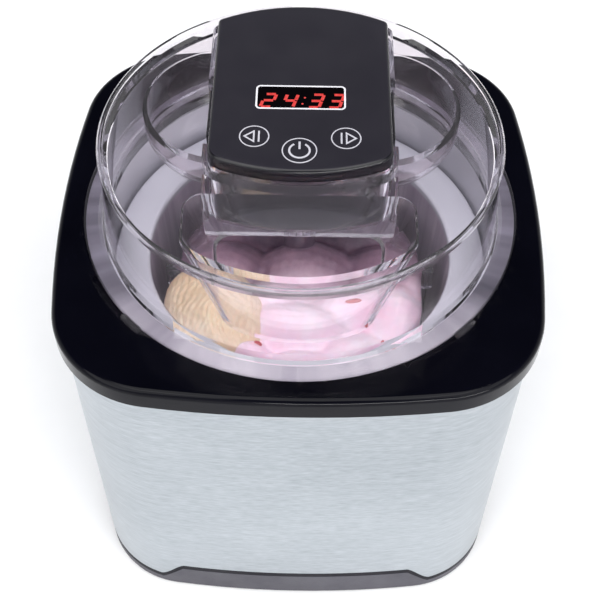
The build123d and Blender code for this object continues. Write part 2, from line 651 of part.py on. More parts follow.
def make_case():
    floor = UNIT_BOTTOM + UNIT_WALL
    case = unit_prism(0, UNIT_BOTTOM, UNIT_SPLIT)
    case = fillet(case.edges().group_by(Axis.Z)[0], 1.2)
    case -= unit_prism(-UNIT_WALL, floor, UNIT_SPLIT + 1)
    for x, y in CASE_SCREW_SPOTS:
        case += disc(3.6, floor - 0.5, BOARD_Z[1], x, y) & unit_prism(-0.5, UNIT_BOTTOM, UNIT_SPLIT)
        case -= disc(1.75, UNIT_BOTTOM - 1, UNIT_SPLIT + 1, x, y)
        case -= disc(3.1, UNIT_BOTTOM - 1, UNIT_BOTTOM + 2.0, x, y)
    for x, y in PLATE_SCREW_SPOTS:
        case += disc(3.0, floor - 0.5, PLATE_Z[0] - 0.02, x, y)
        case -= disc(SCREW_R + SCREW_FIT, floor + 3, PLATE_Z[0] + 1, x, y)
    case += disc(SHAFT_R + 2.5, floor - 0.5, GEAR_LOW[0] - 0.3)
    case -= disc(SHAFT_R + RUNNING, UNIT_BOTTOM - 1, GEAR_LOW[0] + 1)
    case += disc(4.0, floor - 0.5, GEAR_LOW[0] - 0.3, 0, IDLER_Y)
    case -= disc(1.5, floor - 0.2, GEAR_LOW[0] + 1, 0, IDLER_Y)
    half = BUTTON_LENGTH / 2 + 0.3
    for side in (-1, 1):
        x0, x1 = sorted((side * (UNIT_HALF - UNIT_WALL - 1), side * (UNIT_HALF + 1)))
        case -= block(x0, x1, BUTTON_Y - half, BUTTON_Y + half, BUTTON_Z[0] - 0.3, BUTTON_Z[1] + 0.3)
        s0, s1 = sorted((side * 28.0, side * 29.6))
        case += block(s0, s1, BUTTON_Y - 6, BUTTON_Y + 6, floor - 0.5, BUTTON_Z[1] - 1)
    gland_hole = Pos(0, UNIT_BACK_R - 6, GLAND_Z) * Rot(-90, 0, 0) * Cylinder(
        GLAND_R, 10, align=(Align.CENTER, Align.CENTER, Align.MIN)
    )
    return case - gland_hole


def make_gland():
    """Short flanged bush in the case's back wall, where the mains lead enters."""

    def along_y(radius, y0, y1):
        return Pos(0, y0, GLAND_Z) * Rot(-90, 0, 0) * Cylinder(
            radius, y1 - y0, align=(Align.CENTER, Align.CENTER, Align.MIN)
        )

    wall_in = UNIT_BACK_R - UNIT_WALL
    body = along_y(GLAND_R - 0.05, wall_in - 2.4, GLAND_END_Y)
    body += along_y(GLAND_R + 0.3, wall_in - 2.4, wall_in - 0.35)
    for k in range(2):
        y = UNIT_BACK_R + 3.2 + 3.0 * k
        body -= along_y(GLAND_R + 1, y, y + 1.2) - along_y(GLAND_R - 0.8, y - 1, y + 2)
    return body - along_y(GLAND_BORE_R, wall_in - 4, GLAND_END_Y + 1)


def make_display():
    return block(-20, 20, WINDOW_CENTRE_Y - 7.4, WINDOW_CENTRE_Y + 7.4, BOARD_Z[1] + 0.02, UNIT_TOP - COVER_SHEET - 0.4)


def make_board():
    board = Pos(0, 3, BOARD_Z[0]) * extrude(Rectangle(58, 50), BOARD_Z[1] - BOARD_Z[0])
    board = fillet(board.edges().filter_by(Axis.Z), 3)
    return board & unit_prism(-UNIT_WALL - 0.6, 240, 260)


def make_touch_springs():
    low, high = BOARD_Z[1] + 0.02, UNIT_TOP - COVER_SHEET - 0.05
    return [disc(3.0, low, high, x, y) - disc(2.2, low - 1, high + 1, x, y) for x, y in KEYS]


def make_capacitor():
    body = block(-8, 8, -16, -8, BOARD_Z[0] - 9, BOARD_Z[0] - 0.02)
    return fillet(body.edges().filter_by(Axis.Z), 1.0)


def make_motor():
    can = disc(MOTOR_CAN_R, PLATE_Z[1] + 0.02, MOTOR_CAN_TOP, 0, MOTOR_Y)
    can = fillet(can.edges().group_by(Axis.Z)[-1], 1.5)
    ears = block(-34, 34, MOTOR_Y - 4, MOTOR_Y + 4, PLATE_Z[1] + 0.02, PLATE_Z[1] + 1.2)
    body = can + ears
    for x, y in MOTOR_SCREW_SPOTS:
        body -= disc(1.7, PLATE_Z[0], MOTOR_CAN_TOP, x, y)
    return body - disc(2.2, PLATE_Z[0], MOTOR_CAN_TOP - 2, 0, MOTOR_Y)


def make_gear_plate():
    plate = Pos(0, 26, PLATE_Z[0]) * extrude(Rectangle(68, 92), PLATE_Z[1] - PLATE_Z[0])
    plate = fillet(plate.edges().filter_by(Axis.Z), 6)
    plate &= unit_prism(-UNIT_WALL - 0.6, 230, 240)
    for x, y in CASE_SCREW_SPOTS:
        plate -= disc(4.2, 230, 240, x, y)
    for side in (-1, 1):
        s0, s1 = sorted((side * 27.4, side * 40))
        plate -= block(s0, s1, BUTTON_Y - 7, BUTTON_Y + 7, 230, 240)
    for x, y in PLATE_SCREW_SPOTS:
        plate -= disc(1.7, 230, 240, x, y)
    for x, y in MOTOR_SCREW_SPOTS:
        plate -= disc(SCREW_R + SCREW_FIT, 230, 240, x, y)
    plate -= disc(SHAFT_R + RUNNING, 230, 240)
    plate -= disc(1.5, 230, 240, 0, IDLER_Y)
    return plate - disc(5.0, 230, 240, 0, MOTOR_Y)


def make_idler_pin():
    return disc(1.48, UNIT_BOTTOM + UNIT_WALL, PLATE_Z[1], 0, IDLER_Y)


def make_plate_screws():
    return [screw(x, y, PLATE_Z[1] + 1.9, 226.0, head_r=2.8) for x, y in PLATE_SCREW_SPOTS]


def make_motor_screws():
    return [screw(x, y, PLATE_Z[1] + 3.1, 230.0, head_r=2.8) for x, y in MOTOR_SCREW_SPOTS]


def make_case_screws():
    return [screw(x, y, UNIT_BOTTOM + 0.1, UNIT_TOP - COVER_SHEET - 0.3) for x, y in CASE_SCREW_SPOTS]


# ---------------------------------------------------------------- drive
def make_rotor():
    """The synchronous motor's rotor, its shaft and the pinion below the gear plate."""
    body = disc(2.0, GEAR_HIGH[0], MOTOR_CAN_TOP - 3, 0, MOTOR_Y)
    return body + gear(TEETH_PINION, *GEAR_HIGH, y=MOTOR_Y, turn=-90)


def make_idler():
    small_low = GEAR_LOW[0]
    small = gear(TEETH_IDLER_SMALL, small_low, GEAR_HIGH[0] + 0.2, y=IDLER_Y, turn=-90 + 180 / TEETH_IDLER_SMALL)
    big = gear(TEETH_IDLER_BIG, *GEAR_HIGH, y=IDLER_Y, turn=90 + 180 / TEETH_IDLER_BIG)
    return (small + big) - disc(1.48 + RUNNING, 200, 300, 0, IDLER_Y)


def make_output_gear():
    body = gear(TEETH_OUTPUT, *GEAR_LOW, turn=90)
    return body - disc(SHAFT_R, GEAR_LOW[0] - 1, GEAR_LOW[1] + 1)


def make_drive_shaft():
    """Round where it runs in the case and plate, with two wings where it drives the paddle."""
    shaft = disc(SHAFT_R, POCKET_FLOOR - 1, PLATE_Z[1] + 0.6)
    tip = disc(SHAFT_TIP_R, SHAFT_BOTTOM, POCKET_FLOOR)
    tip = chamfer(tip.edges().group_by(Axis.Z)[0], 0.6)
    wings = block(-WING_R, WING_R, -WING_HALF, WING_HALF, SHAFT_BOTTOM + 1, PADDLE_HUB_TOP - 3)
    return shaft + tip + (wings & disc(WING_R, 0, 300))


def make_shaft_clip():
    """Retaining ring on the shaft above the gear plate."""
    clip = ring(SHAFT_R, SHAFT_R + 1.8, PLATE_Z[1] + 0.05, PLATE_Z[1] + 0.6)
    return clip - sector(SHAFT_R - 1, SHAFT_R + 4, PLATE_Z[0], PLATE_Z[1] + 2, 270, 25)


# ---------------------------------------------------------------- release buttons
def make_button(side):
    """Side button: finger plate through the case's slot, and a flange that keeps it in."""
    half = BUTTON_LENGTH / 2
    inner = UNIT_HALF - UNIT_WALL - 0.2

    def slab(x0, x1, grow):
        a, b = sorted((side * x0, side * x1))
        return block(
            a, b, BUTTON_Y - half - grow, BUTTON_Y + half + grow, BUTTON_Z[0] - grow / 2, BUTTON_Z[1] + grow / 4
        )

    plate = slab(inner - 1.6, BUTTON_FACE_X, 0)
    outer_x = side * BUTTON_FACE_X
    face_edges = [e for e in plate.edges() if abs(e.center().X - outer_x) < 0.01]
    plate = fillet(face_edges, 1.2)
    for k in range(-3, 4):
        y = BUTTON_Y + 3.0 * k
        a, b = sorted((side * (BUTTON_FACE_X - 0.4), side * (BUTTON_FACE_X + 1)))
        plate -= block(a, b, y - 0.5, y + 0.5, BUTTON_Z[0] + 2, BUTTON_Z[1] - 2)
    post = Pos(side * (inner - 3.2), BUTTON_Y, 244) * Rot(0, 90, 0) * Cylinder(1.6, 3.4)
    return plate + slab(inner - 1.6, inner, 1.6) + post


def make_button_spring(side):
    """Compression spring between the case's rib and the button, seven turns of round wire."""
    start, end = 29.8, UNIT_HALF - UNIT_WALL - 2.0
    wire_r, coil_r = 0.35, 2.6
    height = end - start - 2 * wire_r
    path = Helix(pitch=height / 6, height=height, radius=coil_r)
    profile = Plane(origin=path @ 0, z_dir=path % 0) * Circle(wire_r)
    coil = sweep(profile, path=path, is_frenet=True)
    turned_coil = Rot(0, 90, 0) * coil
    box = turned_coil.bounding_box()
    x_low = start if side > 0 else -end
    return Pos(x_low + 0.05 - box.min.X, BUTTON_Y, 244) * turned_coil


def main():
    os.makedirs("parts", exist_ok=True)
    save("base_plate", make_base_plate())
    save("rubber_feet", *make_feet())
    save("steel_shell", make_steel_shell())
    save("top_bezel", make_bezel())
    save("inner_tub", make_tub())
    save("bowl_support_pads", *make_support_pads())
    save("base_screws", *make_base_screws())
    save("bezel_screws", *make_bezel_screws())

    save("bowl_outer_cup", make_outer_cup())
    save("bowl_inner_cup", make_inner_cup())
    save("coolant_fill", make_coolant())
    save("bowl_seal_ring", make_bowl_seal())
    save("bowl_rim", make_bowl_rim())
    save("coolant_fill_plug", make_fill_plug())

    save("mixing_paddle", make_paddle())

    save("lid_seal", make_lid_seal())
    save("clear_lid", make_lid())
    save("shaft_bush", make_shaft_bush())

    save("motor_cover", make_cover())
    save("display_window", make_window())
    save("motor_case", make_case())
    save("cord_gland", make_gland())
    save("display_module", make_display())
    save("control_board", make_board())
    save("touch_key_springs", *make_touch_springs())
    save("dropper_capacitor", make_capacitor())
    save("drive_motor", make_motor())
    save("gear_plate", make_gear_plate())
    save("idler_pin", make_idler_pin())
    save("gear_plate_screws", *make_plate_screws())
    save("motor_screws", *make_motor_screws())
    save("case_screws", *make_case_screws())

    save("rotor_pinion", make_rotor())
    save("idler_gear", make_idler())
    save("output_gear", make_output_gear())
    save("drive_shaft", make_drive_shaft())
    save("shaft_clip", make_shaft_clip())

    save("release_button_left", make_button(-1))
    save("release_button_right", make_button(1))
    save("button_spring_left", make_button_spring(-1))
    save("button_spring_right", make_button_spring(1))


main()
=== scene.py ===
# %% [markdown]
# # A table-top ice cream maker
#
# A square housing in brushed steel carries a gloss black bezel. A clear lid locks into the bezel, and a
# motor unit with a small display drops into the lid. The parts were modelled as solids first. Here they
# are loaded as a fixed frame, given finishes, and joined by pieces that solids describe badly: the
# brushed sleeve, the printed signs and the ice cream.

import json
import math

import bmesh
import bpy
import numpy as np
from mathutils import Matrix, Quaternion, Vector


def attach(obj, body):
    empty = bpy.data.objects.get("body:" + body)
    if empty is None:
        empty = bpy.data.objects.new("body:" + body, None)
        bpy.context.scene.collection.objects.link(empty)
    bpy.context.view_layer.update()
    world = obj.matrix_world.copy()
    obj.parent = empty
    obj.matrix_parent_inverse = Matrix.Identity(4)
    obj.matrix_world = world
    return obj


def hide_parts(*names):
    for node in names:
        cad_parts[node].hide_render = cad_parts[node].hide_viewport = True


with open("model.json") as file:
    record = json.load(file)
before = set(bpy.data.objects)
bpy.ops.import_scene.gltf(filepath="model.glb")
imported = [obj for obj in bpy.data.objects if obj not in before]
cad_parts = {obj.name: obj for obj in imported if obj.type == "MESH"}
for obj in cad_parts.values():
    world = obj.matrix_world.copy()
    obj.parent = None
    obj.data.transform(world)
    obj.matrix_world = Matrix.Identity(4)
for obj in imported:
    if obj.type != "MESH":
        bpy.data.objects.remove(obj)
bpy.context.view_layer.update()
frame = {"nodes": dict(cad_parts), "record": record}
nodes = frame["nodes"]
MM = 0.001

# %% [markdown]
# ## Surfaces over a grid
#
# Most new pieces are a surface over a grid of two parameters. All the points are worked out at once as a
# numpy array, and the faces join each point to its neighbours. Along either direction the grid can close
# on itself, as a ring does, and an end can be shut with one flat face.


# %% Grid surfaces
def grid_faces(rows, columns, ring_rows, ring_columns):
    """Quads between neighbours: (i, j), (i, j+1), (i+1, j+1), (i+1, j), counted round where a ring closes."""
    i = np.arange(rows if ring_rows else rows - 1)
    j = np.arange(columns if ring_columns else columns - 1)
    i, j = np.meshgrid(i, j, indexing="ij")
    i2, j2 = (i + 1) % rows, (j + 1) % columns
    quads = np.stack([i * columns + j, i * columns + j2, i2 * columns + j2, i2 * columns + j], -1)
    return quads.reshape(-1, 4)


def link_new(name, data):
    """New object for this data, at the origin and linked to the scene."""
    obj = bpy.data.objects.new(name, data)
    bpy.context.scene.collection.objects.link(obj)
    return obj


def make_object(name, points, faces, smooth=True):
    """Puts points in millimetres and faces into a new mesh object that sits at the origin."""
    mesh = bpy.data.meshes.new(name)
    mesh.from_pydata((np.asarray(points, float) * MM).tolist(), [], [list(map(int, f)) for f in faces])
    mesh.update()
    mesh.polygons.foreach_set("use_smooth", np.full(len(mesh.polygons), smooth))
    return link_new(name, mesh)


def sheet_of(name, grid, ring_rows=False, ring_columns=True, caps=False, smooth=True):
    """Object from a (rows, columns, 3) grid of points. Caps close the first and last row with one face."""
    rows, columns = grid.shape[:2]
    faces = list(grid_faces(rows, columns, ring_rows, ring_columns))
    if caps:
        faces.append(np.arange(columns)[::-1])
        faces.append((rows - 1) * columns + np.arange(columns))
    return make_object(name, grid.reshape(-1, 3), faces, smooth)


def weld(mesh, distance, outwards=False):
    """Joins corners closer than a distance in metres. With outwards, faces then point out of the volume."""
    work = bmesh.new()
    work.from_mesh(mesh)
    bmesh.ops.remove_doubles(work, verts=work.verts, dist=distance)
    if outwards:
        bmesh.ops.recalc_face_normals(work, faces=work.faces)
    work.to_mesh(mesh)
    work.free()


def face_outwards(obj):
    """Turns every face of a closed mesh to point out of the volume it encloses."""
    weld(obj.data, 1e-7, outwards=True)
    return obj


def sharpen(obj, degrees=35):
    """Keeps edges crisp where two faces meet at more than this angle."""
    obj.data.set_sharp_from_angle(angle=math.radians(degrees))
    return obj


print("helpers ready")

# %% [markdown]
# ## The housing's plan
#
# Seen from above, each side is a shallow arc and each corner a tighter one, tangent to both sides. Moving
# the outline in by a distance shortens every radius by that distance and keeps the centres. So one
# function gives the outline of bezel, sleeve and base alike.

# %% Outline of the housing
HALF_WIDTH = 117.5
SIDE_ARC = 555.0
CORNER_ARC = 52.0


def housing_radius(angle, inset):
    """Distance from the axis to the outline moved in by inset, at an angle.

    In the first eighth turn the ray meets the side arc, centred at (-(S - H), 0) with radius S, up to the
    joint, and then the corner arc centred at (c, c). Each distance solves |ray - centre| = radius.
    """
    shift = SIDE_ARC - HALF_WIDTH
    side, corner = SIDE_ARC - inset, CORNER_ARC - inset
    gap = SIDE_ARC - CORNER_ARC
    c = (-2 * shift + math.sqrt(4 * shift**2 - 8 * (shift**2 - gap**2))) / 4
    lean = math.atan2(c, c + shift)
    joint = math.atan2(side * math.sin(lean), side * math.cos(lean) - shift)
    a = np.abs((np.asarray(angle) + math.pi / 4) % (math.pi / 2) - math.pi / 4)
    on_side = -shift * np.cos(a) + np.sqrt(side**2 - (shift * np.sin(a)) ** 2)
    s = c * (np.cos(a) + np.sin(a))
    on_corner = s + np.sqrt(np.maximum(s**2 - 2 * c**2 + corner**2, 0))
    return np.where(a < joint, on_side, on_corner)


print("half width", float(housing_radius(0, 0)), "corner", float(housing_radius(math.pi / 4, 0)))

# %% [markdown]
# ## Finishes
#
# No surface on a real machine has one flat colour. Moulded plastic has a faint cloudiness and a fine
# grain, metal has drawing marks, and rubber is dull and uneven. A small function builds such a finish: one
# coarse noise shifts the colour a little, another the gloss, and a fine one gives a shallow grain.


# %% A node tree in a few calls
NOISE_LOW, NOISE_HIGH = 0.3, 0.7


def set_ramp(node, *stops):
    """Puts a (position, colour) pair on each stop of a colour ramp."""
    for element, (position, colour) in zip(node.color_ramp.elements, stops):
        element.position, element.color = position, (*colour, 1)


class Nodes:
    """Thin wrapper: add nodes, set inputs by name and link them."""

    def __init__(self, name):
        self.material = bpy.data.materials.new(name)
        self.material.use_nodes = True
        self.tree = self.material.node_tree
        self.tree.nodes.clear()
        self.output = self.add("ShaderNodeOutputMaterial")

    def add(self, kind, inputs=None, **settings):
        node = self.tree.nodes.new(kind)
        for key, value in settings.items():
            setattr(node, key, value)
        for key, value in (inputs or {}).items():
            if isinstance(value, bpy.types.NodeSocket):
                self.tree.links.new(value, node.inputs[key])
            else:
                node.inputs[key].default_value = value
        return node

    def noise(self, scale, vector=None, detail=3.0, roughness=0.5, stretch=None):
        if vector is None:
            vector = self.add("ShaderNodeTexCoord").outputs["Object"]
        if stretch is not None:
            vector = self.add("ShaderNodeMapping", {"Vector": vector, "Scale": stretch}).outputs["Vector"]
        kind = {"Vector": vector, "Scale": scale, "Detail": detail, "Roughness": roughness}
        return self.add("ShaderNodeTexNoise", kind).outputs["Fac"]

    def between(self, factor, low, high):
        """Numbers from low to high as the factor goes over the usual spread of noise."""
        spread = {"From Min": NOISE_LOW, "From Max": NOISE_HIGH, "To Min": low, "To Max": high}
        return self.add("ShaderNodeMapRange", {"Value": factor, **spread}).outputs["Result"]

    def blend(self, factor, first, second):
        """Colours from first to second, again over the usual spread of noise."""
        node = self.add("ShaderNodeValToRGB", {"Fac": factor})
        set_ramp(node, (NOISE_LOW, first), (NOISE_HIGH, second))
        return node.outputs["Color"]

    def axis(self, letter):
        """The object coordinate along X, Y or Z, in metres."""
        place = self.add("ShaderNodeTexCoord").outputs["Object"]
        return self.add("ShaderNodeSeparateXYZ", {"Vector": place}).outputs[letter]

    def share(self, value, start, end):
        """0 up to the start, 1 from the end on, and even in between."""
        span = {"Value": value, "From Min": start, "From Max": end}
        return self.add("ShaderNodeMapRange", span).outputs["Result"]

    def mix_colours(self, factor, first, second):
        return self.add("ShaderNodeMix", {0: factor, 6: first, 7: second}, data_type="RGBA").outputs[2]

    def mix_values(self, factor, first, second):
        return self.add("ShaderNodeMix", {0: factor, 2: first, 3: second}, data_type="FLOAT").outputs[0]

    def bump(self, height, distance, strength=1.0):
        settings = {"Height": height, "Distance": distance, "Strength": strength}
        return self.add("ShaderNodeBump", settings).outputs["Normal"]

    def surface(self, shader):
        self.tree.links.new(shader.outputs[0], self.output.inputs["Surface"])
        return self.material


def moulded(name, dark, light, gloss=(0.3, 0.4), grain=0.00004, grain_scale=900, cloud_scale=25, **sockets):
    """Plastic, rubber or coated metal: clouded colour, uneven gloss and a shallow grain."""
    n = Nodes(name)
    cloud = n.noise(cloud_scale, detail=4)
    inputs = {
        "Base Color": n.blend(cloud, dark, light),
        "Roughness": n.between(n.noise(cloud_scale * 3), *gloss),
        "Normal": n.bump(n.noise(grain_scale, detail=2), grain),
    }
    inputs.update(sockets)
    return n.surface(n.add("ShaderNodeBsdfPrincipled", inputs))


print("finish builder ready")

# %% [markdown]
# ## The finishes of this machine
#
# The bezel and motor unit are black ABS, one polished and one satin. The base is a charcoal plastic. The
# tub and the bowl's rim are pale and satin. Inside the motor unit the gears are white acetal and the motor
# is plated steel.

# %% Plastic, rubber and metal finishes
MAT = {
    "bezel_black": moulded(
        "bezel_black", (0.0010, 0.0010, 0.0028), (0.0020, 0.0020, 0.0046), (0.08, 0.13), 0.000003,
        **{"Specular IOR Level": 0.13},
    ),
    "charcoal_base": moulded(
        "charcoal_base", (0.032, 0.030, 0.041), (0.044, 0.041, 0.055), (0.42, 0.55), 0.00006
    ),
    "foot_rubber": moulded(
        "foot_rubber", (0.018, 0.018, 0.020), (0.030, 0.030, 0.033), (0.7, 0.85), 0.0001, 500
    ),
    "tub_grey": moulded("tub_grey", (0.44, 0.44, 0.49), (0.52, 0.52, 0.57), (0.30, 0.40)),
    "rim_silver": moulded("rim_silver", (0.66, 0.67, 0.74), (0.74, 0.75, 0.82), (0.28, 0.36), 0.00001),
    "bowl_shell": moulded("bowl_shell", (0.55, 0.56, 0.61), (0.62, 0.63, 0.68), (0.35, 0.45)),
    "seal_rubber": moulded("seal_rubber", (0.09, 0.09, 0.10), (0.12, 0.12, 0.13), (0.65, 0.8)),
    "coolant_gel": moulded("coolant_gel", (0.05, 0.18, 0.50), (0.08, 0.24, 0.58), (0.2, 0.3)),
    "bush_white": moulded("bush_white", (0.42, 0.42, 0.45), (0.50, 0.50, 0.53), (0.4, 0.5)),
    "case_black": moulded(
        "case_black", (0.0020, 0.0018, 0.0035), (0.0040, 0.0038, 0.0060), (0.10, 0.16), 0.000004,
        **{"Specular IOR Level": 0.4},
    ),
    # Near-black for the strip at the sleeve's foot: a painted shadow for the gap between steel and base.
    "trim_black": moulded(
        "trim_black", (0.0030, 0.0028, 0.0060), (0.0055, 0.0050, 0.0095), (0.5, 0.6), 0.00001,
        **{"Specular IOR Level": 0.15},
    ),
    "gland_rubber": moulded("gland_rubber", (0.010, 0.010, 0.011), (0.018, 0.018, 0.020), (0.6, 0.75)),
    "module_grey": moulded("module_grey", (0.02, 0.02, 0.022), (0.03, 0.03, 0.033), (0.5, 0.6)),
    "board_green": moulded("board_green", (0.006, 0.07, 0.025), (0.010, 0.10, 0.04), (0.25, 0.4)),
    "capacitor_yellow": moulded("capacitor_yellow", (0.40, 0.22, 0.02), (0.50, 0.28, 0.03), (0.35, 0.45)),
    "gear_acetal": moulded("gear_acetal", (0.55, 0.55, 0.52), (0.64, 0.64, 0.61), (0.35, 0.45)),
    "button_black": moulded(
        "button_black", (0.006, 0.006, 0.008), (0.011, 0.011, 0.014), (0.24, 0.34), 0.00002,
        **{"Specular IOR Level": 0.25},
    ),
    "cover_charcoal": moulded(
        "cover_charcoal", (0.0150, 0.0135, 0.0195), (0.0185, 0.0165, 0.0235), (0.34, 0.42), 0.000008, 1600,
        **{"Specular IOR Level": 0.35},
    ),
    "screw_steel": moulded("screw_steel", (0.42, 0.42, 0.43), (0.52, 0.52, 0.53), (0.25, 0.4), Metallic=1.0),
    "spring_steel": moulded(
        "spring_steel", (0.50, 0.50, 0.51), (0.60, 0.60, 0.61), (0.2, 0.32), Metallic=1.0
    ),
    "motor_steel": moulded("motor_steel", (0.36, 0.36, 0.37), (0.46, 0.46, 0.47), (0.3, 0.45), Metallic=1.0),
    "pinion_brass": moulded(
        "pinion_brass", (0.55, 0.38, 0.12), (0.65, 0.46, 0.16), (0.25, 0.4), Metallic=1.0
    ),
}
print(len(MAT), "finishes")

# %% [markdown]
# ## Clear plastic
#
# The lid is clear, with a faint lavender cast that shows where the plastic is thick. Glass in a path
# tracer also throws a full shadow, unless light is traced through it at great cost. A common way round
# this is to let shadow rays, and rays scattered by a dull surface, meet a plain transparent surface
# instead, so what lies below stays lit.


# %% Clear finishes
HAZE = 0.013
# Along y in metres: painted shade makes the gasket grey behind the first, and painted light pale in front of
# the second.
GASKET_SHADE_Y, GASKET_LIT_Y = -0.052, -0.090


def clear_plastic(name, colour, through, ior, rough, coat=1.0):
    """Refracting plastic for sight, and a tinted open surface for the light that passes.

    A thin wall hardly bends what is seen through it, so the body has a low refractive index, and a coat
    adds the mirror reflections of real plastic. A small share is scattered, as moulding haze.
    """
    n = Nodes(name)
    wear = n.between(n.noise(60, detail=4), rough, rough * 2.2)
    glass = n.add(
        "ShaderNodeBsdfPrincipled",
        {
            "Base Color": (*colour, 1), "Roughness": wear, "IOR": ior, "Transmission Weight": 1 - HAZE,
            "Coat Weight": coat, "Coat IOR": 1.5, "Coat Roughness": 0.03,
        },
    )
    open_surface = n.add("ShaderNodeBsdfTransparent", {"Color": (*through, 1)})
    path = n.add("ShaderNodeLightPath").outputs
    rays = {0: path["Is Shadow Ray"], 1: path["Is Diffuse Ray"]}
    lighting = n.add("ShaderNodeMath", rays, operation="MAXIMUM").outputs[0]
    mix = {0: lighting, 1: glass.outputs[0], 2: open_surface.outputs[0]}
    return n.surface(n.add("ShaderNodeMixShader", mix))


def streaks_round_axis(n, count):
    """Noise that depends only on the direction from the axis, so its streaks run straight out or down."""
    turn = n.add("ShaderNodeMath", {0: n.axis("X"), 1: n.axis("Y")}, operation="ARCTAN2").outputs[0]
    ring = n.add("ShaderNodeCombineXYZ", {0: turn}).outputs[0]
    return n.noise(1.0, ring, detail=3, roughness=0.6, stretch=(count, 1, 1))


def gasket(name):
    """Soft clear gasket: painted light makes it paler at the front and painted shade grey behind, with
    streaks across the ring.
    """
    n = Nodes(name)
    streak = streaks_round_axis(n, 5)
    # Painted light and shade: pale in front, where light falls, and dark grey behind, in shade.
    lit_front_share = n.share(n.axis("Y"), GASKET_SHADE_Y, GASKET_LIT_Y)
    grey = n.blend(streak, (0.022, 0.020, 0.032), (0.23, 0.22, 0.27))
    pale = n.blend(streak, (0.34, 0.32, 0.38), (0.60, 0.58, 0.62))
    inputs = {
        "Base Color": n.mix_colours(lit_front_share, grey, pale),
        "Roughness": n.between(n.noise(75), 0.30, 0.42),
        "Normal": n.bump(n.noise(900, detail=2), 0.00002),
    }
    return n.surface(n.add("ShaderNodeBsdfPrincipled", inputs))


def drawn_bowl(name):
    """Drawn aluminium: the tool leaves faint lighter and darker streaks down the wall."""
    n = Nodes(name)
    streak = streaks_round_axis(n, 7)
    inputs = {
        "Base Color": n.blend(streak, (0.58, 0.49, 0.63), (0.98, 0.90, 1.0)),
        "Roughness": n.between(n.noise(90), 0.42, 0.56),
        "Metallic": 0.8,
        "Normal": n.bump(n.noise(400), 0.00003),
    }
    return n.surface(n.add("ShaderNodeBsdfPrincipled", inputs))


MAT["bowl_aluminium"] = drawn_bowl("bowl_aluminium")
MAT["clear_silicone"] = gasket("clear_silicone")
MAT["lid_clear"] = clear_plastic("lid_clear", (0.98, 0.945, 0.975), (0.99, 0.98, 0.99), 1.13, 0.015)
MAT["paddle_clear"] = clear_plastic("paddle_clear", (0.80, 0.78, 0.86), (0.9, 0.9, 0.92), 1.45, 0.12)
print("clear finishes:", [k for k in MAT if "clear" in k])

# %% [markdown]
# ## Brushed steel
#
# The sleeve is drawn through a belt before it is bent, so its fine scratches run level round the machine.
# The pattern has to follow the sheet and not the room. The sleeve therefore gets its own map, in which one
# direction is the length along the wall and the other the height, both in metres. A noise that is
# stretched about eight times along the wall gives the scratches.


# %% Steel finish
def brushed_steel(name):
    """Fine and broad scratches along the sheet, over a slow change of tone. Stretches are per metre."""
    n = Nodes(name)
    along = n.add("ShaderNodeUVMap", uv_map="sleeve").outputs["UV"]
    fine = n.noise(1.0, along, detail=3, roughness=0.55, stretch=(150, 1250, 1))
    broad = n.noise(1.0, along, detail=3, stretch=(40, 330, 1))
    cloud = n.noise(1.0, along, detail=2, stretch=(7, 10, 1))
    streaks = n.mix_values(0.25, fine, broad)
    tone = n.mix_values(0.25, streaks, cloud)
    inputs = {
        "Base Color": n.blend(tone, (0.295, 0.325, 0.35), (0.545, 0.58, 0.61)),
        "Roughness": n.between(fine, 0.30, 0.44),
        "Metallic": 1.0,
        "Anisotropic": 0.5,
        "Normal": n.bump(streaks, 0.00002),
    }
    return n.surface(n.add("ShaderNodeBsdfPrincipled", inputs))


MAT["brushed_sleeve"] = brushed_steel("brushed_sleeve")
print("steel ready")

# %% [markdown]
# ## Finishes go onto the solids
#
# Each solid names its finish in the record, so one loop can dress them all.

# %% Dress the solids
for part in frame["record"]["subparts"]:
    slot = part["material_slot"]
    if slot in MAT:
        mesh = nodes[part["node"]].data
        mesh.materials.clear()
        mesh.materials.append(MAT[slot])

# %% [markdown]
# ## The bezel's shading
#
# The bezel's flat top meets its rounded edge without a crease. If the two are shaded as one smooth surface,
# the edge's tilt bleeds into the wide flat triangles and its highlight turns ragged. Here the bezel's own
# surface is joined up again and each corner takes its direction from its largest face, so the flat stays
# flat right up to the edge.


# %% Bezel
# Degrees between faces that stay a crease, and the modifier's weight for the larger face.
BEZEL_CREASE = 28
LARGEST_FACE_WINS = 100


def with_flat_faces(node, name):
    """The node's surface as one joined mesh, with normals weighted by face area."""
    mesh = nodes[node].data.copy()
    mesh.transform(nodes[node].matrix_world)
    mesh.name = name
    weld(mesh, 1e-6)
    mesh.polygons.foreach_set("use_smooth", np.full(len(mesh.polygons), True))
    obj = sharpen(link_new(name, mesh), BEZEL_CREASE)
    weighted = obj.modifiers.new("flat_faces", "WEIGHTED_NORMAL")
    weighted.keep_sharp = True
    weighted.weight = LARGEST_FACE_WINS
    return obj


bezel = with_flat_faces("top_bezel", "bezel_moulding")
bezel.data.materials.clear()
bezel.data.materials.append(MAT["bezel_black"])
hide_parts("top_bezel")
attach(bezel, "housing")
print("bezel:", len(bezel.data.vertices), "corners after joining")

# %% [markdown]
# ## The steel sleeve
#
# On the real machine this is one sheet bent round, with a raised notch at the front and the rear for the
# base's tongue. It is made as a closed strip: outer face up, over the top edge, inner face down, and under
# the bottom edge, carried round the plan.

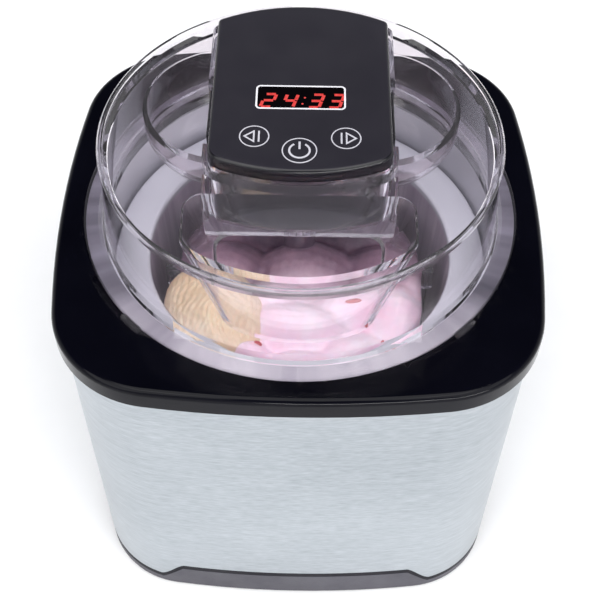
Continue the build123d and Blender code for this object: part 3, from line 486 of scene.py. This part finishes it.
# %% Wall strips
# Millimetres. The wall stands a little inside the bezel's outline, more so at its foot. The second number on
# the SHEET line is the height of the dark strip at the foot, a painted shadow for the gap between sleeve and
# base, and the notch narrows from NOTCH_HALF_LOW to NOTCH_HALF_TOP.
WALL_BOTTOM, WALL_TOP = 8.1, 198.0
INSET_LOW, INSET_HIGH = 5.0, 3.5
SHEET, SHADOW_STRIP, SHADOW_STRIP_GAP = 0.8, 3.8, 0.02
NOTCH_TOP, NOTCH_HALF_TOP, NOTCH_HALF_LOW = 22.2, 62.0, 75.5
FRONT_Y = 80.0  # farther out than this, the wall is the front or the rear
WALL_STEPS, SLEEVE_ROWS, SHADOW_STRIP_ROWS = 1440, 40, 2


def plan_angles(count):
    """Evenly spaced angles round the plan, from 0 up to one full turn."""
    return np.arange(count) * 2 * np.pi / count


def lower_edge(angles):
    """Height of the wall's lower edge: it rises along an eased ramp to the notch at front and rear."""
    r = housing_radius(angles, INSET_LOW)
    x, y = r * np.cos(angles), r * np.sin(angles)
    ramp = np.clip((NOTCH_HALF_LOW - np.abs(x)) / (NOTCH_HALF_LOW - NOTCH_HALF_TOP), 0, 1)
    eased = 0.5 * ramp + 0.5 * ramp**2 * (3 - 2 * ramp)
    return np.where(np.abs(y) > FRONT_Y, WALL_BOTTOM + eased * (NOTCH_TOP - WALL_BOTTOM), WALL_BOTTOM)


def radius_row(angles, insets):
    """Outline radius where the inset differs from angle to angle, found between two nearby insets."""
    a, b = float(insets.min()), float(insets.max()) + 1e-6
    share = (insets - a) / (b - a)
    return housing_radius(angles, a) * (1 - share) + housing_radius(angles, b) * share


def wall_strip(angles, low, high, rows, sheet):
    """Closed strip of the housing's wall: up the outer face and down the inner face.

    The wall leans in towards its foot, so the inset falls linearly with height.
    """
    up = np.linspace(0, 1, rows)[:, None]
    height = low + up * (high - low)
    share = (height - WALL_BOTTOM) / (WALL_TOP - WALL_BOTTOM)
    inset = INSET_LOW + share * (INSET_HIGH - INSET_LOW)
    faces = []
    for extra, order in ((0.0, slice(None)), (sheet, slice(None, None, -1))):
        radius = np.stack([radius_row(angles, row + extra) for row in inset[order]])
        faces.append(np.stack([radius * np.cos(angles), radius * np.sin(angles), height[order]], -1))
    return np.concatenate(faces)


wall_angles = plan_angles(WALL_STEPS)
foot = lower_edge(wall_angles)
sleeve_strip = wall_strip(wall_angles, foot + SHADOW_STRIP, WALL_TOP, SLEEVE_ROWS, SHEET)
sleeve = sheet_of("steel_sleeve", sleeve_strip, ring_rows=True)
sharpen(face_outwards(sleeve), 50)
# The dark strip below the sleeve is a painted shadow, standing in for the gap between the steel and the base.
shadow_strip_grid = wall_strip(wall_angles, foot, foot + SHADOW_STRIP - SHADOW_STRIP_GAP, SHADOW_STRIP_ROWS, SHEET)
shadow_strip = sheet_of("sleeve_foot_shadow_strip", shadow_strip_grid, ring_rows=True)
sharpen(face_outwards(shadow_strip), 50)
shadow_strip.data.materials.append(MAT["trim_black"])
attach(shadow_strip, "housing")
print("sleeve and trim made, notch top at", round(float(foot.max()), 1))

# %% Sleeve map: length along the wall, and height
MAP_RADIUS = 0.125  # metres of wall for each radian of turn

vertex_of_loop = np.zeros(len(sleeve.data.loops), int)
sleeve.data.loops.foreach_get("vertex_index", vertex_of_loop)
vertex_xyz = np.zeros(len(sleeve.data.vertices) * 3)
sleeve.data.vertices.foreach_get("co", vertex_xyz)
loop_xyz = vertex_xyz.reshape(-1, 3)[vertex_of_loop]
turn = np.arctan2(loop_xyz[:, 1], loop_xyz[:, 0])
per_face = turn.reshape(-1, 4)
per_face = np.where(per_face < per_face.max(1, keepdims=True) - np.pi, per_face + 2 * np.pi, per_face)
wall_uv = np.stack([per_face.reshape(-1) * MAP_RADIUS, loop_xyz[:, 2]], -1)
uv_layer = sleeve.data.uv_layers.new(name="sleeve")
uv_layer.data.foreach_set("uv", wall_uv.astype(np.float32).reshape(-1))
sleeve.data.materials.append(MAT["brushed_sleeve"])
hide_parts("steel_shell")
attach(sleeve, "housing")
print("map spans", wall_uv.min(0), wall_uv.max(0))

# %% [markdown]
# ## The motor unit's cover
#
# Its plan has straight sides, a bowed front and a back that follows the lid's rim. The outline is drawn as
# arcs and lines with the same number of points for every inset, so a few insets and heights stacked up give
# the bevelled lid of the unit. The flat top is one face.

# %% Outline of the motor unit
UNIT_HALF = 42.0
UNIT_FRONT_Y, UNIT_FRONT_R, UNIT_FRONT_CORNER = -31.2, 95.0, 9.0
UNIT_BACK_R, UNIT_BACK_CORNER = 85.0, 3.0
UNIT_SPLIT, UNIT_TOP = 252.1, 258.5


def arc(cx, cy, radius, start, end, count):
    """Points on an arc, angles in radians, without the last one."""
    a = start + (end - start) * np.arange(count) / count
    return np.stack([cx + radius * np.cos(a), cy + radius * np.sin(a)], -1)


def unit_outline(inset):
    """Closed outline, anticlockwise from the front-left corner's start.

    A corner of radius q between the side at x = h and an end arc of radius R has its centre at x = h - q,
    at the distance R - q from the end arc's centre.
    """
    h, rf, qf = UNIT_HALF - inset, UNIT_FRONT_R - inset, UNIT_FRONT_CORNER - inset
    rb, qb = UNIT_BACK_R - inset, UNIT_BACK_CORNER - inset
    cy = UNIT_FRONT_Y + UNIT_FRONT_R
    fx, fy = h - qf, cy - math.sqrt((rf - qf) ** 2 - (h - qf) ** 2)
    bx, by = h - qb, math.sqrt((rb - qb) ** 2 - (h - qb) ** 2)
    lean_f = math.atan2(fy - cy, fx)
    lean_b = math.atan2(by, bx)
    side = np.linspace(0, 1, 24)[:, None]
    right = np.array([h, fy]) + side * np.array([0, by - fy])
    parts = [
        arc(0, cy, rf, -math.pi - lean_f, lean_f, 48),
        arc(fx, fy, qf, lean_f, 0, 16),
        right[:-1],
        arc(bx, by, qb, 0, lean_b, 10),
        arc(0, 0, rb, lean_b, math.pi - lean_b, 48),
        arc(-bx, by, qb, math.pi - lean_b, math.pi, 10),
        (right * [-1, 1])[::-1][:-1],
        arc(-fx, fy, qf, math.pi, math.pi - lean_f, 16),
    ]
    return np.concatenate(parts)


print("outline points", len(unit_outline(0)))

# %% Cover surface
PRINT_TOP = UNIT_TOP - 0.02
COVER_TOP = UNIT_TOP - 0.10
POLISHED_BELOW = COVER_TOP - 0.25
cover_profile = [
    (2.0, UNIT_SPLIT),
    (0.5, UNIT_SPLIT),
    (0.1, UNIT_SPLIT + 0.15),
    (0.0, UNIT_SPLIT + 0.5),
    (0.0, COVER_TOP - 1.75),
    (0.08, COVER_TOP - 1.25),
    (0.3, COVER_TOP - 0.80),
    (0.65, COVER_TOP - 0.42),
    (1.1, COVER_TOP - 0.15),
    (1.6, COVER_TOP),
    (2.0, COVER_TOP),
]


def stack(outline, profile):
    """Grid of one outline row for each (inset, height) of a profile."""
    rows = []
    for inset, height in profile:
        flat = outline(inset)
        rows.append(np.column_stack([flat, np.full(len(flat), height)]))
    return np.stack(rows)


cover = sheet_of("motor_unit_cover", stack(unit_outline, cover_profile), caps=True)
sharpen(face_outwards(cover), 40)
cover.data.materials.append(MAT["cover_charcoal"])
cover.data.materials.append(MAT["case_black"])
face_middle = np.zeros(len(cover.data.polygons) * 3)
cover.data.polygons.foreach_get("center", face_middle)
polished = face_middle.reshape(-1, 3)[:, 2] < POLISHED_BELOW * MM
cover.data.polygons.foreach_set("material_index", polished.astype(np.int32))
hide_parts("motor_cover")
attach(cover, "motor_unit")
print("cover made, top at", COVER_TOP)

# %% [markdown]
# ## Display and printed signs
#
# The display is a black pane with a white frame round it, and four digits glow through it. Each line of a
# sign is a flat ribbon a few hundredths of a millimetre thick. A ribbon is a path with a width: at each
# point the two sides step off along the bisector of the neighbouring edges, which gives clean mitres.


# %% Ribbons
SHARPEST_MITRE = 0.3


def ribbon(points, width, low, high, closed):
    """Flat ribbon along a path: sides at plus and minus half the width along each point's mitre."""
    p = np.asarray(points, float)
    if closed:
        before, after = p - np.roll(p, 1, 0), np.roll(p, -1, 0) - p
    else:
        step = np.diff(p, axis=0)
        before, after = np.vstack([step[:1], step]), np.vstack([step, step[-1:]])
    before /= np.linalg.norm(before, axis=1, keepdims=True)
    after /= np.linalg.norm(after, axis=1, keepdims=True)
    mitre = before + after
    mitre /= np.linalg.norm(mitre, axis=1, keepdims=True)
    normal = np.stack([-mitre[:, 1], mitre[:, 0]], -1)
    grow = 1 / np.maximum((mitre * after).sum(1, keepdims=True), SHARPEST_MITRE)
    left, right = p + normal * grow * width / 2, p - normal * grow * width / 2
    section = ((left, low), (right, low), (right, high), (left, high))
    return np.stack([np.column_stack([side, np.full(len(p), z)]) for side, z in section], 1)


def join_grids(name, grids, closed_flags):
    """One object from several ribbon grids; an open ribbon gets an end face at each end."""
    points, faces, offset = [], [], 0
    for grid, closed in zip(grids, closed_flags):
        rows, columns = grid.shape[:2]
        faces += [f + offset for f in grid_faces(rows, columns, closed, True)]
        if not closed:
            faces.append(np.arange(columns)[::-1] + offset)
            faces.append((rows - 1) * columns + np.arange(columns) + offset)
        points.append(grid.reshape(-1, 3))
        offset += rows * columns
    return face_outwards(make_object(name, np.concatenate(points), faces, smooth=False))


def circle(cx, cy, radius, count=72):
    return arc(cx, cy, radius, 0, 2 * math.pi, count)


print("ribbons ready")

# %% Key signs
KEY_POWER, KEY_LEFT, KEY_RIGHT = (-0.4, -18.0), (-21.0, -9.3), (20.6, -9.8)
POWER_RING, STEP_RING = 7.7, 6.6
RING_LINE, SIGN_LINE, STEP_LINE, BAR_LINE = 0.55, 0.95, 0.75, 0.8
PRINT_LOW = COVER_TOP - 0.05


def key_signs():
    """Rings round three touch keys, with the power sign and the two step signs in them."""
    lines = []
    for (cx, cy), radius in ((KEY_POWER, POWER_RING), (KEY_LEFT, STEP_RING), (KEY_RIGHT, STEP_RING)):
        lines.append((circle(cx, cy, radius), RING_LINE, True))
    px, py = KEY_POWER
    lines.append((arc(px, py, 4.6, math.radians(122), math.radians(422), 60), SIGN_LINE, False))
    lines.append(([(px, py + 0.9), (px, py + 5.6)], SIGN_LINE, False))
    for (cx, cy), side in ((KEY_LEFT, -1), (KEY_RIGHT, 1)):
        triangle = [(cx + side * 4.5, cy), (cx + side * 0.2, cy + 3.3), (cx + side * 0.2, cy - 3.3)]
        bar = [(cx - side * 2.1, cy - 3.5), (cx - side * 2.1, cy + 3.5)]
        lines.append((triangle, STEP_LINE, True))
        lines.append((bar, BAR_LINE, False))
    return lines


sign_lines = key_signs()
sign_grids = [ribbon(path, width, PRINT_LOW, PRINT_TOP, closed) for path, width, closed in sign_lines]
signs = join_grids("key_signs", sign_grids, [closed for _, _, closed in sign_lines])
MAT["print_grey"] = moulded("print_grey", (0.52, 0.51, 0.56), (0.62, 0.61, 0.66), (0.45, 0.55), 0.000005)
signs.data.materials.append(MAT["print_grey"])
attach(signs, "motor_unit")
print("signs:", len(sign_lines), "lines")

# %% Display pane and its frame
PANE_CENTRE = (-0.3, 17.0)
PANE_HALF, PANE_CORNER = (20.7, 7.8), 2.0
PANE_LOW, PANE_TOP = COVER_TOP - 0.6, COVER_TOP + 0.02
FRAME_INSET, FRAME_LINE = 0.1, 0.85


def rounded_box(cx, cy, hx, hy, radius, count=8):
    """Rectangle with round corners, anticlockwise from the lower right corner."""
    corners = []
    for k, (sx, sy) in enumerate(((1, -1), (1, 1), (-1, 1), (-1, -1))):
        start = -math.pi / 2 + k * math.pi / 2
        x, y = cx + sx * (hx - radius), cy + sy * (hy - radius)
        corners.append(arc(x, y, radius, start, start + math.pi / 2, count))
    return np.concatenate(corners)


def pane_outline(inset):
    return rounded_box(*PANE_CENTRE, PANE_HALF[0] - inset, PANE_HALF[1] - inset, PANE_CORNER)


pane_rows = stack(pane_outline, [(0, PANE_LOW), (0, PANE_TOP)])
pane = sheet_of("display_pane", pane_rows, caps=True, smooth=False)
face_outwards(pane)
MAT["pane_black"] = moulded(
    "pane_black", (0.0010, 0.0006, 0.0008), (0.0018, 0.0010, 0.0012), (0.06, 0.10), 0.000001,
    **{"Specular IOR Level": 0.15},
)
pane.data.materials.append(MAT["pane_black"])
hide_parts("display_window")
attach(pane, "motor_unit")

frame_ribbon = ribbon(pane_outline(FRAME_INSET), FRAME_LINE, PRINT_LOW, PRINT_TOP, True)
frame_line = join_grids("display_frame", [frame_ribbon], [True])
MAT["print_white"] = moulded("print_white", (0.80, 0.79, 0.83), (0.90, 0.89, 0.92), (0.4, 0.5), 0.000005)
frame_line.data.materials.append(MAT["print_white"])
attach(frame_line, "motor_unit")
print("pane and frame made")

# %% [markdown]
# ## Glowing digits
#
# A seven-segment digit is seven slim hexagons. Each is drawn once as a ribbon along its segment, and the
# whole digit leans to the right, as such displays do. The light is an emission with a slight unevenness,
# because a real segment is brighter over its diode.

# %% Digits
SEGMENTS = {"2": "abged", "4": "fgbc", "3": "abgcd"}
DIGIT_W, DIGIT_H, SEGMENT_LINE, SEGMENT_GAP = 5.0, 8.6, 1.5, 0.35
DIGIT_LEFT = (-19.0, -8.9, 3.2, 12.6)
DIGIT_LOW_Y, LEAN = 10.4, 0.28
COLON, DOT_RADIUS, DOT_LINE = ((1.6, 16.8), (0.5, 12.6)), 0.25, 0.5
GLOW_TOP = COVER_TOP + 0.05


def digit_lines(text, left):
    """Straight strokes of one digit, shortened at both ends so that segments stay apart."""
    w, h = DIGIT_W, DIGIT_H
    ends = {
        "a": ((0, h), (w, h)), "b": ((w, h), (w, h / 2)), "c": ((w, h / 2), (w, 0)), "d": ((0, 0), (w, 0)),
        "e": ((0, 0), (0, h / 2)), "f": ((0, h / 2), (0, h)), "g": ((0, h / 2), (w, h / 2)),
    }
    strokes = []
    for key in SEGMENTS[text]:
        p, q = np.array(ends[key][0], float), np.array(ends[key][1], float)
        step = (q - p) / np.linalg.norm(q - p) * SEGMENT_GAP
        line = np.array([p + step, q - step])
        strokes.append(np.column_stack([left + line[:, 0] + LEAN * line[:, 1], DIGIT_LOW_Y + line[:, 1]]))
    return strokes


strokes = []
for text, place in zip("2433", DIGIT_LEFT):
    strokes += digit_lines(text, place)
digit_grids = [ribbon(s, SEGMENT_LINE, COVER_TOP, GLOW_TOP, False) for s in strokes]
dots = [ribbon(circle(x, y, DOT_RADIUS, 16), DOT_LINE, COVER_TOP, GLOW_TOP, True) for x, y in COLON]
closed = [False] * len(digit_grids) + [True] * len(dots)
digits = join_grids("display_digits", digit_grids + dots, closed)


def glowing(name, dim, bright, strength):
    """Light of its own, a little uneven."""
    n = Nodes(name)
    colour = n.blend(n.noise(700, detail=1), dim, bright)
    return n.surface(n.add("ShaderNodeEmission", {"Color": colour, "Strength": strength}))


MAT["digit_red"] = glowing("digit_red", (0.72, 0.045, 0.045), (0.95, 0.11, 0.10), 1.0)
digits.data.materials.append(MAT["digit_red"])
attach(digits, "motor_unit")
print("digits:", len(digit_grids), "segments")

# %% [markdown]
# ## Ice cream
#
# The bowl is nearly full. Most of the ice cream is pink and lies in soft lumps where the paddle has turned it
# over; towards the rear it darkens, a painted shade for the shadow under the motor unit. At the front left a
# scoop of vanilla stands in fine pleats. The ice cream turns with the paddle, so it stays inside the bowl's
# wall all round.
#
# Lumps that press together meet in creases. Each lump is a dome, and the surface is a soft maximum of them
# all: the logarithm of a sum of exponentials is close to the largest value, and it rounds the crease a
# little.

# %% Lumps
BOWL_FLOOR, BOWL_RIM = 48.0, 173.0
WALL_LOW, WALL_HIGH = 71.0, 77.0
# A dome falls by LUMP_FALL at its ellipse, LUMP_FLARE eases the slope outside it, LUMP_BLEND rounds creases.
LUMP_LEVEL, LUMP_FALL, LUMP_FLARE, LUMP_BLEND = 165.0, 11.0, 0.12, 1.6
# From REAR_FROM on, the surface sinks to REAR_LEVEL over REAR_LENGTH.
REAR_FROM, REAR_LENGTH, REAR_LEVEL = 14.0, 56.0, 152.0
# Seen from above it reaches out to REACH, and farther within FRONT_TURN radians of the front.
REACH, MORE_IN_FRONT, FRONT_TURN, FRONT_EDGE = 63.5, 12.0, 1.08, 0.12
# The last part of the reach, as a share, bends down by SHOULDER_DROP.
SHOULDER_FROM, SHOULDER_WIDTH, SHOULDER_DROP = 0.86, 0.14, 7.0
# Below that it keeps clear of the wall and floor, tucks in a little and narrows to the bowl's round bottom.
WALL_GAP, FLOOR_GAP, TUCK = 0.9, 1.5, 0.8
BOTTOM_IN, BOTTOM_SLOPE = 10.0, 2.2

# Each lump: centre x and y, half lengths along and across, turn in degrees, height of its top.
PINK_LUMPS = (
    (-2, -45, 25, 14, -4, 176.5), (50, -40, 15, 24, 22, 178.0), (27, -60, 19, 12, 22, 172.5),
    (1, -67, 22, 9, 0, 170.5), (-24, -62, 14, 10, -24, 172.0), (27, -33, 21, 13, 8, 174.0),
    (-38, -7, 18, 15, 6, 176.0), (4, -7, 21, 14, 0, 177.5), (44, -9, 18, 15, -8, 176.5),
    (-12, -28, 20, 14, 10, 172.5), (-58, -52, 14, 16, 30, 168.0), (58, -20, 13, 18, 0, 172.0),
    (48, -62, 14, 12, 38, 168.0), (-52, -26, 16, 16, 0, 168.0), (-28, 20, 30, 19, 8, 171.0),
    (26, 22, 31, 19, -6, 171.5), (0, 46, 40, 20, 0, 167.0),
)


def wall_radius(z):
    """The bowl's inner wall widens evenly from floor to rim."""
    return WALL_LOW + (z - BOWL_FLOOR) / (BOWL_RIM - BOWL_FLOOR) * (WALL_HIGH - WALL_LOW)


def lump_heights(x, y, lumps, blend):
    """Soft maximum of domes. Each falls by nearly LUMP_FALL at its ellipse, and more gently outside it."""
    total = np.zeros(np.broadcast(x, y).shape)
    for cx, cy, along, across, turn, top in lumps:
        c, s = math.cos(math.radians(turn)), math.sin(math.radians(turn))
        u, v = (c * (x - cx) + s * (y - cy)) / along, (-s * (x - cx) + c * (y - cy)) / across
        d = u**2 + v**2
        total = total + np.exp((top - LUMP_FALL * d / (1 + LUMP_FLARE * d) - LUMP_LEVEL) / blend)
    return LUMP_LEVEL + blend * np.log(total)


def pink_height(x, y):
    """Lumps that sink gently towards the rear, with a small unevenness all over."""
    z = lump_heights(x, y, PINK_LUMPS, LUMP_BLEND)
    behind = np.clip((y - REAR_FROM) / REAR_LENGTH, 0, 1)
    z = z * (1 - behind) + REAR_LEVEL * behind
    z = z + 0.55 * np.sin(x / 4.3 + 1.3 * np.sin(y / 5.7)) * np.sin(y / 3.9 + 1.1 * np.sin(x / 6.1))
    return z + 0.22 * np.sin(x / 1.5 + y / 2.3) * np.sin(y / 1.3 - x / 2.1)


def edge_radius(angle):
    """How far out it reaches: to the wall over the front, short of it at the sides and behind."""
    off = np.abs((angle + np.pi / 2 + np.pi) % (2 * np.pi) - np.pi)
    front = 1 / (1 + np.exp((off - FRONT_TURN) / FRONT_EDGE))
    return REACH + MORE_IN_FRONT * front + 0.9 * np.sin(9 * angle + 0.6) * (1 - front)


def pink_grid(rings, columns):
    """Rings: from the axis out over the top, round the shoulder, down the wall and back to the axis below."""
    a = plan_angles(columns)
    share = np.linspace(0.004, 1, rings)[:, None]
    reach = edge_radius(a)
    r = share * reach
    x, y = r * np.cos(a), r * np.sin(a)
    shoulder = np.clip((share - SHOULDER_FROM) / SHOULDER_WIDTH, 0, 1)
    z = pink_height(x, y) - SHOULDER_DROP * (1 - np.sqrt(np.maximum(1 - shoulder**2, 0)))
    top = np.stack([x, y, z], -1)
    down = np.linspace(0.02, 1, 30)[:, None]
    side_z = z[-1] + down * (BOWL_FLOOR + FLOOR_GAP - z[-1])
    side_r = np.minimum(reach, wall_radius(side_z) - WALL_GAP) - TUCK * np.clip(down * 6, 0, 1)
    side_r = np.minimum(side_r, WALL_LOW - BOTTOM_IN + (side_z - BOWL_FLOOR) * BOTTOM_SLOPE)
    side = np.stack([side_r * np.cos(a), side_r * np.sin(a), side_z], -1)
    return np.concatenate([top, side])


pink_points = pink_grid(rings=170, columns=420)
pink = sheet_of("ice_cream_pink", pink_points, caps=True)
face_outwards(pink)
reach = np.hypot(pink_points[..., 0], pink_points[..., 1])
print("pink top", round(float(pink_points[..., 2].max()), 1), "widest", round(float(reach.max()), 1))

# %% Vanilla scoop
SCOOP_CENTRE, SCOOP_TURN = (-41.5, -37.0), math.radians(-58)
SCOOP_HALF, SCOOP_BASE, SCOOP_RISE = (31.0, 24.0), 162.0, 17.5
PLEAT_PITCH, PLEAT_DEPTH = 0.95, 0.8
SCOOP_GAP, SKIRT_SHARE, SKIRT_DEPTH = 1.0, 0.94, 14.0


def vanilla_grid(rows, columns):
    """A dome over a long oval. Fine pleats run front to back: a ripple across x, bent by slower waves."""
    a = plan_angles(columns)
    share = np.linspace(0.006, 1, rows)[:, None]
    u, v = share * SCOOP_HALF[0] * np.cos(a), share * SCOOP_HALF[1] * np.sin(a)
    c, s = math.cos(SCOOP_TURN), math.sin(SCOOP_TURN)
    x, y = SCOOP_CENTRE[0] + c * u - s * v, SCOOP_CENTRE[1] + s * u + c * v
    dome = np.sqrt(np.maximum(1 - share**2.6, 0)) * np.ones_like(a)
    across = x + 0.12 * y + 2.1 * np.sin(y / 9.5 + 0.5)
    across = across + 0.9 * np.sin(y / 4.3 + x / 7.0) + 0.9 * np.sin(x / 3.4)
    pleat = 1 - np.abs(np.sin(across / PLEAT_PITCH + 0.6 * np.sin(y / 5.1))) ** 0.6
    uneven = 0.55 + 0.45 * np.sin(x / 5.2 + 2.2 * np.sin(y / 8.1 + x / 9.0))
    z = SCOOP_BASE + SCOOP_RISE * dome - PLEAT_DEPTH * pleat * uneven * dome
    z = z + 1.0 * np.sin(across / 3.9 + 0.8) * dome
    z = z + 0.28 * np.sin(x / 0.7 + 1.1 * np.sin(y / 1.9)) * np.sin(y / 1.2 - x / 2.7)
    r = np.hypot(x, y)
    limit = wall_radius(np.minimum(z, BOWL_RIM)) - SCOOP_GAP
    pull = np.minimum(1, limit / np.maximum(r, 1e-6))
    top = np.stack([x * pull, y * pull, z], -1)
    below = top[-1] * [SKIRT_SHARE, SKIRT_SHARE, 1] - [0, 0, SKIRT_DEPTH]
    return np.concatenate([top, below[None]])


vanilla_points = vanilla_grid(rows=150, columns=420)
vanilla = sheet_of("ice_cream_vanilla", vanilla_points, caps=True)
face_outwards(vanilla)
print("vanilla top", round(float(vanilla_points[..., 2].max()), 1))

# %% Bits of berry
# Each bit: centre x and y, half lengths along and across, turn in degrees.
BERRIES = (
    (-19.3, -59.5, 2.3, 1.4, -35), (-10.5, -72.6, 1.5, 0.9, 0),
    (41.0, -56.5, 1.2, 0.8, 70), (27.0, -35.0, 4.2, 1.3, 8),
)
BERRY_HALF_HEIGHT, BERRY_LIFT = 0.8, 0.2


def berry_points(cx, cy, along, across, turn):
    """Flat pebble that lies on the ice cream's surface."""
    a, t = plan_angles(20), np.linspace(0.02, 0.98, 9)[:, None] * np.pi
    u, v = along * np.sin(t) * np.cos(a), across * np.sin(t) * np.sin(a)
    w = BERRY_HALF_HEIGHT * np.cos(t) * np.ones_like(a)
    c, s = math.cos(math.radians(turn)), math.sin(math.radians(turn))
    x, y = cx + c * u - s * v, cy + s * u + c * v
    base = float(pink_height(np.array(cx), np.array(cy)))
    return np.stack([x, y, base + BERRY_LIFT + w], -1)


berry_grids = [berry_points(*b) for b in BERRIES]
berries = join_grids("berry_bits", berry_grids, [False] * len(berry_grids))
berries.data.polygons.foreach_set("use_smooth", np.full(len(berries.data.polygons), True))
print("berries:", len(BERRIES))


# %% Ice cream finishes
# Along y in metres: painted shade for the shadow under the motor unit, deepening over each pair in turn.
SHADE_FROM_Y, FULL_SHADE_Y = -0.031, -0.014
DEEP_SHADE_FROM_Y, FULL_DEEP_SHADE_Y = -0.006, 0.012


def iced(name, shade, body, light, grain, rear_shade=None):
    """Ice cream: soft light from below the surface, an uneven colour and a fine crystalline grain.

    With three painted shade colours (deep, pale and darkest), the colour deepens from the bowl's middle
    towards
    the rear: a painted shade for the shadow that the motor unit casts there.
    """
    n = Nodes(name)
    place = n.add("ShaderNodeTexCoord").outputs["Object"]
    cloud = n.noise(55, place, detail=5, roughness=0.6)
    pits = n.noise(420, place, detail=4, roughness=0.7)
    first, second = n.blend(cloud, shade, light), n.blend(pits, body, light)
    colour = n.mix_colours(0.35, first, second)
    if rear_shade is not None:
        # Painted shade: towards the rear the colour darkens in two steps, for the shadow under the motor
        # unit.
        deep, pale, darkest = rear_shade
        y = n.axis("Y")
        shade_tones = n.blend(cloud, deep, pale)
        ripple = n.blend(cloud, darkest, deep)
        rear_shade_colour = n.mix_colours(n.share(y, DEEP_SHADE_FROM_Y, FULL_DEEP_SHADE_Y), shade_tones, ripple)
        colour = n.mix_colours(n.share(y, SHADE_FROM_Y, FULL_SHADE_Y), colour, rear_shade_colour)
    inputs = {
        "Base Color": colour,
        "Roughness": n.between(pits, 0.42, 0.60),
        "Subsurface Weight": 0.3,
        "Subsurface Radius": (0.010, 0.005, 0.004),
        "Subsurface Scale": 0.3,
        "Normal": n.bump(pits, grain),
    }
    return n.surface(n.add("ShaderNodeBsdfPrincipled", inputs))


# Painted shade colours for the pink's rear, under the motor unit: deep, pale and darkest.
REAR_SHADE = ((0.17, 0.10, 0.15), (0.33, 0.20, 0.27), (0.035, 0.022, 0.042))
MAT["ice_pink"] = iced("ice_pink", (1.0, 0.56, 0.74), (1.0, 0.80, 0.92), (1.0, 0.90, 0.97), 0.0003, REAR_SHADE)
MAT["ice_vanilla"] = iced("ice_vanilla", (0.74, 0.52, 0.31), (0.90, 0.70, 0.48), (0.95, 0.79, 0.58), 0.0004)
MAT["berry_red"] = moulded("berry_red", (0.45, 0.03, 0.05), (0.62, 0.07, 0.08), (0.25, 0.4), 0.0001)
for piece, finish in ((pink, "ice_pink"), (vanilla, "ice_vanilla"), (berries, "berry_red")):
    piece.data.materials.append(MAT[finish])
    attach(piece, "paddle")
print("ice cream dressed")

# %% [markdown]
# ## Studio
#
# A pale floor and three broad, soft suns, from above, the left and the right, light the machine evenly. The
# surround is bright at the horizon and dark overhead, so the gloss black bezel stays black. A long strip
# lamp in front draws the fine bright line along the bezel's and the motor unit's edges.

# %% Floor
FLOOR_SIZE = 6000.0
ticks = np.linspace(-FLOOR_SIZE / 2, FLOOR_SIZE / 2, 3)
floor_grid = np.stack(np.meshgrid(ticks, ticks, [0.0], indexing="ij"), -1)[:, :, 0]
floor = sheet_of("studio_floor", floor_grid, ring_columns=False, smooth=False)
floor.data.materials.append(moulded("floor_pale", (0.90, 0.90, 0.90), (0.92, 0.92, 0.92), (0.8, 0.9), 0.0))


# %% Lamps and surround
def soft_lamp(name, place, aim, size, power):
    """Rectangular soft lamp at a place in metres, turned to face its aim."""
    lamp = bpy.data.lights.new(name, "AREA")
    lamp.shape = "RECTANGLE"
    lamp.size, lamp.size_y = size
    lamp.energy = power
    obj = link_new(name, lamp)
    obj.location = place
    obj.rotation_euler = (Vector(aim) - Vector(place)).to_track_quat("-Z", "Y").to_euler()


def soft_sun(name, direction, strength, spread):
    """Distant lamp that shines from a direction, with the width of a large softbox."""
    lamp = bpy.data.lights.new(name, "SUN")
    lamp.energy, lamp.angle = strength, math.radians(spread)
    obj = link_new(name, lamp)
    obj.rotation_euler = (-Vector(direction)).to_track_quat("-Z", "Y").to_euler()


soft_lamp("front_strip", (0.55, -1.5, 0.42), (0, 0, 0.25), (1.5, 0.06), 14)
soft_sun("sun_above", (0.0, -0.15, 1.0), 1.5, 50)
soft_sun("sun_left", (-0.8, -0.8, 1.0), 1.35, 50)
soft_sun("sun_right", (0.8, -0.7, 1.0), 1.15, 50)

# Each stop: the height of the direction, from 0 level to 1 straight up, and the colour.
HORIZON, OVERHEAD = (0.25, (0.92, 0.93, 0.96)), (0.62, (0.07, 0.075, 0.10))
world = bpy.data.worlds.new("surround")
bpy.context.scene.world = world
world.use_nodes = True
sky = world.node_tree
direction = sky.nodes.new("ShaderNodeTexCoord").outputs["Generated"]
split = sky.nodes.new("ShaderNodeSeparateXYZ")
ramp = sky.nodes.new("ShaderNodeValToRGB")
set_ramp(ramp, HORIZON, OVERHEAD)
sky.links.new(direction, split.inputs[0])
sky.links.new(split.outputs["Z"], ramp.inputs["Fac"])
sky.links.new(ramp.outputs["Color"], sky.nodes["Background"].inputs["Color"])
sky.nodes["Background"].inputs["Strength"].default_value = 1.0
bpy.context.scene.view_settings.view_transform = "Standard"
print("studio lit")

# %% [markdown]
# ## Camera
#
# The machine is seen from above and in front, from fairly close, so the housing narrows towards its foot.

# %% Camera
ELEVATION, AZIMUTH, ROLL = math.radians(51.74), math.radians(0.45), math.radians(0.54)
DISTANCE, TARGET = 0.635, Vector((0.00034, 0.0, 0.12759))
LENS, SENSOR, NEAREST = 69.93, 36.0, 0.01

level = math.cos(ELEVATION)
back = Vector((math.sin(AZIMUTH) * level, -math.cos(AZIMUTH) * level, math.sin(ELEVATION)))
camera = link_new("camera", bpy.data.cameras.new("camera"))
camera.data.lens, camera.data.sensor_width, camera.data.clip_start = LENS, SENSOR, NEAREST
camera.location = TARGET + back * DISTANCE
turn_to_target = (-back).to_track_quat("-Z", "Y")
camera.rotation_mode = "QUATERNION"
camera.rotation_quaternion = turn_to_target @ Quaternion((0, 0, 1), ROLL)
bpy.context.scene.camera = camera
print("camera at", [round(v, 4) for v in camera.location])
